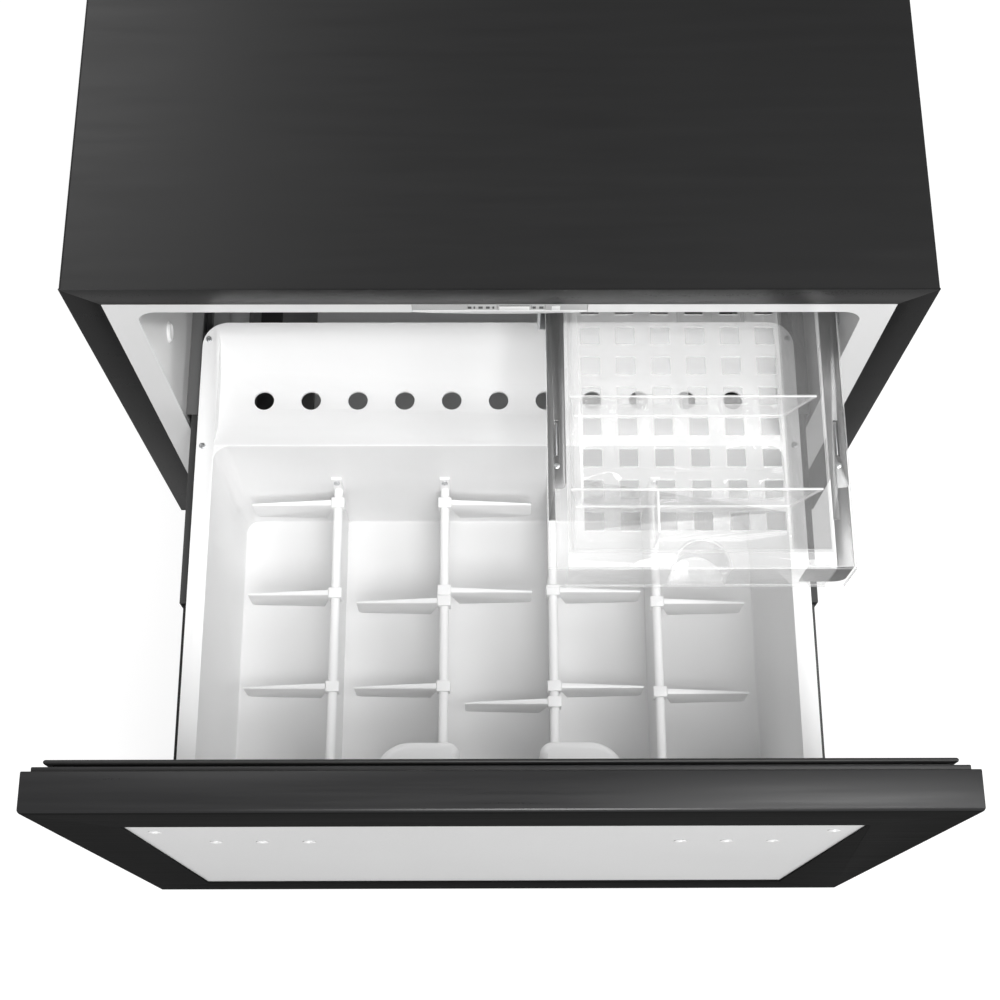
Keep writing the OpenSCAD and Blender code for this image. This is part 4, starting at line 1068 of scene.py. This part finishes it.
@dataclass
class ClearTray:
    """Clear tray with its partitions, rails and hangers."""

    edge: float = 0.45 * MM
    thin: float = 2.3 * MM
    pin_r: float = 1.0 * MM
    pin_l: float = 25.0 * MM
    pin_tip: float = 0.6
    pin_y: float = 62 * MM
    pin_drop: float = 1.4 * MM
    nub_r: float = 2.3 * MM
    nub_h: float = 1.5 * MM
    nub_rim: float = 0.7 * MM
    nub_dome: float = 0.3 * MM
    nub_y: float = 41 * MM
    nub_drop: float = 1.3 * MM
    side_zone: float = 70.0 * MM
    side_w: float = 8 * MM
    lean: Span = (0.25, 0.99)
    end_setback: float = 2.6 * MM
    end_inset: float = 0.5 * MM
    end_drop: float = 0.4 * MM
    end_t: float = 2 * MM
    end_overlap: float = 30.0 * MM
    end_lip: float = 38.0 * MM
    end_lip_w: float = 33.0 * MM
    end_lip_t: float = 1.4 * MM
    end_lip_drop: float = 0.3 * MM
    end_round: float = 9.0 * MM

    def build(self) -> None:
        """Dresses the tray and adds the catch in each rail's slot."""
        for node in ("tray", "tray_dividers"):
            piece = softened(node, Body.TRAY, CLEAR, "clear_plastic", self.edge)
            # Painted highlight: the thin edge faces carry more white haze than the rest of the tray
            extra_finish(piece, CLEAR_GLINT_EDGE, lambda face: breadth(piece, face) < self.thin)
            if node == "tray":
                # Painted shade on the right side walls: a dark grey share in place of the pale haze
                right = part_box("tray")[1].x - self.side_zone
                extra_finish(
                    piece, CLEAR_SHADED_SIDE, lambda face: face.center.x > right and self.leaning(piece, face)
                )
        for side in ("left", "right"):
            softened("tray_rail_outer_" + side, Body.CABINET, RAIL_STEEL, "bare_steel", SHEET_EDGE)
            softened("tray_rail_mid_" + side, Body.TRAY_MIDS, RAIL_STEEL, "bare_steel", SHEET_EDGE)
            softened("tray_rail_inner_" + side, Body.TRAY, RAIL_STEEL, "bare_steel", 0.3 * MM)
        softened("tray_hangers", Body.CABINET, ZINC, "bare_steel", 0.3 * MM)
        self.catches()
        self.rail_end()

    def leaning(self, piece: Object, face: Polygon) -> bool:
        """Whether a face belongs to a leaning side wall of the bowl."""
        return self.lean[0] < abs(face.normal.x) < self.lean[1] and breadth(piece, face) > self.side_w

    def rail_end(self) -> None:
        """Sheet end of the right rail up to the tray's front, with its lip turned down."""
        low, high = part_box("tray_rail_inner_right")
        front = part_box("tray")[0].y + self.end_setback
        across = (low.x + self.end_inset, high.x - self.end_inset)
        top = high.z - self.end_drop
        end = block("rail_end", across, (front, low.y + self.end_overlap), (high.z - self.end_t, top))
        lip_x = (high.x - self.end_lip_w, high.x - self.end_inset)
        lip_z = (top - self.end_lip, top - self.end_lip_drop)
        lip = block("end_lip", lip_x, (front, front + self.end_lip_t), lip_z)

        def at_corner(vert: bmesh.types.BMVert) -> bool:
            """Whether a corner of the lip is at its lower right."""
            return vert.co.x > lip_x[1] - SLACK and vert.co.z < lip_z[0] + SLACK

        with editing(lip) as mesh:
            pick(mesh, "EDGE", lambda edge: all(at_corner(v) for v in edge.verts))
            round_over(self.end_round, 6)
        for part in (end, lip):
            soften(part, 0.4 * MM, 2)
        hand_over(joined("rail_end", [end, lip]), Body.TRAY, RAIL_STEEL, "bare_steel")

    def catches(self) -> None:
        """Sprung pin and nub of the catch in each rail."""
        pins = []
        for side in ("left", "right"):
            low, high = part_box("tray_rail_inner_" + side)
            x, y, z = (low.x + high.x) / 2, low.y + self.pin_y, high.z - self.pin_drop
            pin = disc("pin", self.pin_r, self.pin_l, 16)
            with editing(pin) as mesh:
                pick(mesh, "FACE", lambda face: abs(face.normal.z) > 0.9)
                taper = (self.pin_tip, self.pin_tip, 1)
                bpy.ops.transform.resize(value=taper, center_override=(0, 0, self.pin_l / 2))
            soften(pin, 0.3 * MM, 2)
            pins.append(copies(pin, "pin_" + side, [(x, y - self.pin_l / 2, z)], Axis.REAR))
            nub = disc("nub", self.nub_r, self.nub_h, 24)
            shape_top(nub, self.nub_rim, self.nub_dome)
            soften(nub, 0.25 * MM, 2)
            pins.append(copies(nub, "nub_" + side, [(x, low.y + self.nub_y, high.z - self.nub_drop)]))
        hand_over(joined("rail_catches", pins), Body.TRAY, ZINC, "bare_steel")


@dataclass
class DrawerSlides:
    """Telescopic slides with the steel angles that carry the bin."""

    def build(self) -> None:
        """Dresses the slides."""
        for side in ("left", "right"):
            # The outer slides' grey partly stands in for painted shade on the liner beside the bin
            softened("slide_outer_" + side, Body.CABINET, OUTER_SHADE_GREY, "dark_steel", SHEET_EDGE)
            node_finish(SLIDE_GREY, "slide_mid_" + side)
            softened("slide_inner_" + side, Body.DRAWER, SLIDE_BLACK, "dark_steel", SHEET_EDGE)
        softened("drawer_carriers", Body.DRAWER, SLIDE_BLACK, "dark_steel", SHEET_EDGE)


def stand(spot: Sequence[float], right: Vector, up: Vector, back: Vector) -> Matrix:
    """The place of a lamp or camera from its spot and its three axes."""
    return Matrix.Translation(spot) @ Matrix((right, up, back)).transposed().to_4x4()


@dataclass(frozen=True)
class Panel:
    """A rectangular area lamp, its first side level along X."""

    name: str
    spot: Sequence[float]
    target: Sequence[float]
    size: Span
    power: float

    def build(self) -> None:
        """Hangs the lamp at its spot, turned to its target."""
        data = bpy.data.lights.new(self.name, "AREA")
        data.shape = "RECTANGLE"
        data.size, data.size_y = self.size
        data.energy = self.power
        back = (Vector(self.spot) - Vector(self.target)).normalized()
        across = (Vector((1, 0, 0)) - back * back.x).normalized()
        new_object(self.name, data).matrix_world = stand(self.spot, across, back.cross(across), back)


# A broad lamp in front, and weak panels behind on the left and on the right for the black sheets' sheen
PANELS = (
    Panel("key", (0.22, -1.4, 2.35), (0.0, -0.2, 0.15), (0.9, 1.4), 50.0),
    Panel("rear_left", (-1.15, 1.95, 2.4), (-1.05, 1.5, 0.0), (0.7, 2.0), 24.0),
    Panel("right", (1.2, 0.0, 2.5), (0.1, -0.2, 0.2), (1.1, 0.8), 14.0),
    Panel("right_low", (1.2, -0.6, 1.9), (0.0, -0.2, 0.15), (0.6, 0.6), 6.0),
)


@dataclass
class Studio:
    """Floor, lamps, surroundings and the camera of the photograph."""

    lens_px: float = 1602.24
    frame_px: float = 1000.0
    sensor: float = 36.0
    pitch: float = 19.343
    yaw: float = 1.05
    roll: float = -0.903
    spot: tuple[float, float, float] = (-0.00681, -0.57141, 1.43630)
    sky: float = 0.35
    floor_tone: float = 0.75
    floor_seen_tone: float = 0.26
    floor_mirror_tone: float = 0.2
    floor_glow: float = 0.82
    floor_mirror_glow: float = 0.2
    floor_side: float = 12

    def build(self) -> None:
        """Sets the whole stage."""
        self.camera()
        self.floor()
        self.surroundings()
        for panel in PANELS:
            panel.build()
        bpy.context.scene.view_settings.view_transform = "Standard"

    def camera(self) -> None:
        """The camera, tilted from straight down towards the rear."""
        pitch, yaw, roll = (math.radians(a) for a in (self.pitch, self.yaw, self.roll))
        ahead = Vector((math.sin(yaw) * math.sin(pitch), math.cos(yaw) * math.sin(pitch), -math.cos(pitch)))
        up = Vector((math.sin(yaw) * math.cos(pitch), math.cos(yaw) * math.cos(pitch), math.sin(pitch)))
        right = ahead.cross(up)
        turned_up = math.cos(roll) * up + math.sin(roll) * right
        turned_right = math.cos(roll) * right - math.sin(roll) * up
        data = bpy.data.cameras.new("photo_camera")
        data.sensor_width = self.sensor
        data.lens = self.sensor * self.lens_px / self.frame_px
        data.clip_end = 50.0
        camera = new_object("photo_camera", data)
        camera.matrix_world = stand(self.spot, turned_right, turned_up, -ahead)
        bpy.context.scene.camera = camera

    def floor(self) -> None:
        """A pale floor that shows white where no shadow falls."""
        deselect()
        bpy.ops.mesh.primitive_plane_add(size=self.floor_side, location=(0, 0, 0))
        floor = added("floor")
        graph = Graph("floor_white")
        seen = graph.add("ShaderNodeLightPath", out="Is Camera Ray")
        glossy = graph.add("ShaderNodeLightPath", out="Is Glossy Ray")
        passing = graph.add("ShaderNodeLightPath", out="Is Transmission Ray")
        glow = seen * self.floor_glow + (glossy + passing) * self.floor_mirror_glow
        tone = self.floor_tone
        pale = tone - seen * (tone - self.floor_seen_tone) - glossy * (tone - self.floor_mirror_tone)
        graph.dress(
            base_color=graph.blend(pale, (0, 0, 0), (1, 1, 1)), roughness=1.0,
            emission_color=graph.blend(glow, (0, 0, 0), (1, 1, 1)), emission_strength=1.0,
            specular_ior_level=0.0,
        )
        floor.data.materials.append(graph.material)

    def surroundings(self) -> None:
        """White surroundings that light the part evenly."""
        world = bpy.context.scene.world = bpy.data.worlds.new("studio")
        world.use_nodes = True
        nodes, links = world.node_tree.nodes, world.node_tree.links
        background = nodes["Background"]
        background.inputs["Color"].default_value = (1, 1, 1, 1)
        background.inputs["Strength"].default_value = self.sky
        white = nodes.new("ShaderNodeBackground")
        white.inputs["Strength"].default_value = 1.0
        path = nodes.new("ShaderNodeLightPath")
        mix = nodes.new("ShaderNodeMixShader")
        links.new(path.outputs["Is Camera Ray"], mix.inputs[0])
        links.new(background.outputs[0], mix.inputs[1])
        links.new(white.outputs[0], mix.inputs[2])
        links.new(mix.outputs[0], nodes["World Output"].inputs["Surface"])


def main() -> None:
    """Builds every sub-assembly, then the stage, and logs each one as it is built."""
    logging.basicConfig(level=logging.INFO, format="%(name)s: %(message)s")
    for assembly in (
        Cabinet(), ControlUnit(), CoolingUnit(), DrawerSlides(), DrawerFront(), Bin(), ClearTray(), Studio(),
    ):
        assembly.build()
        LOG.info("%s built", type(assembly).__name__)


if __name__ == "__main__":
    main()
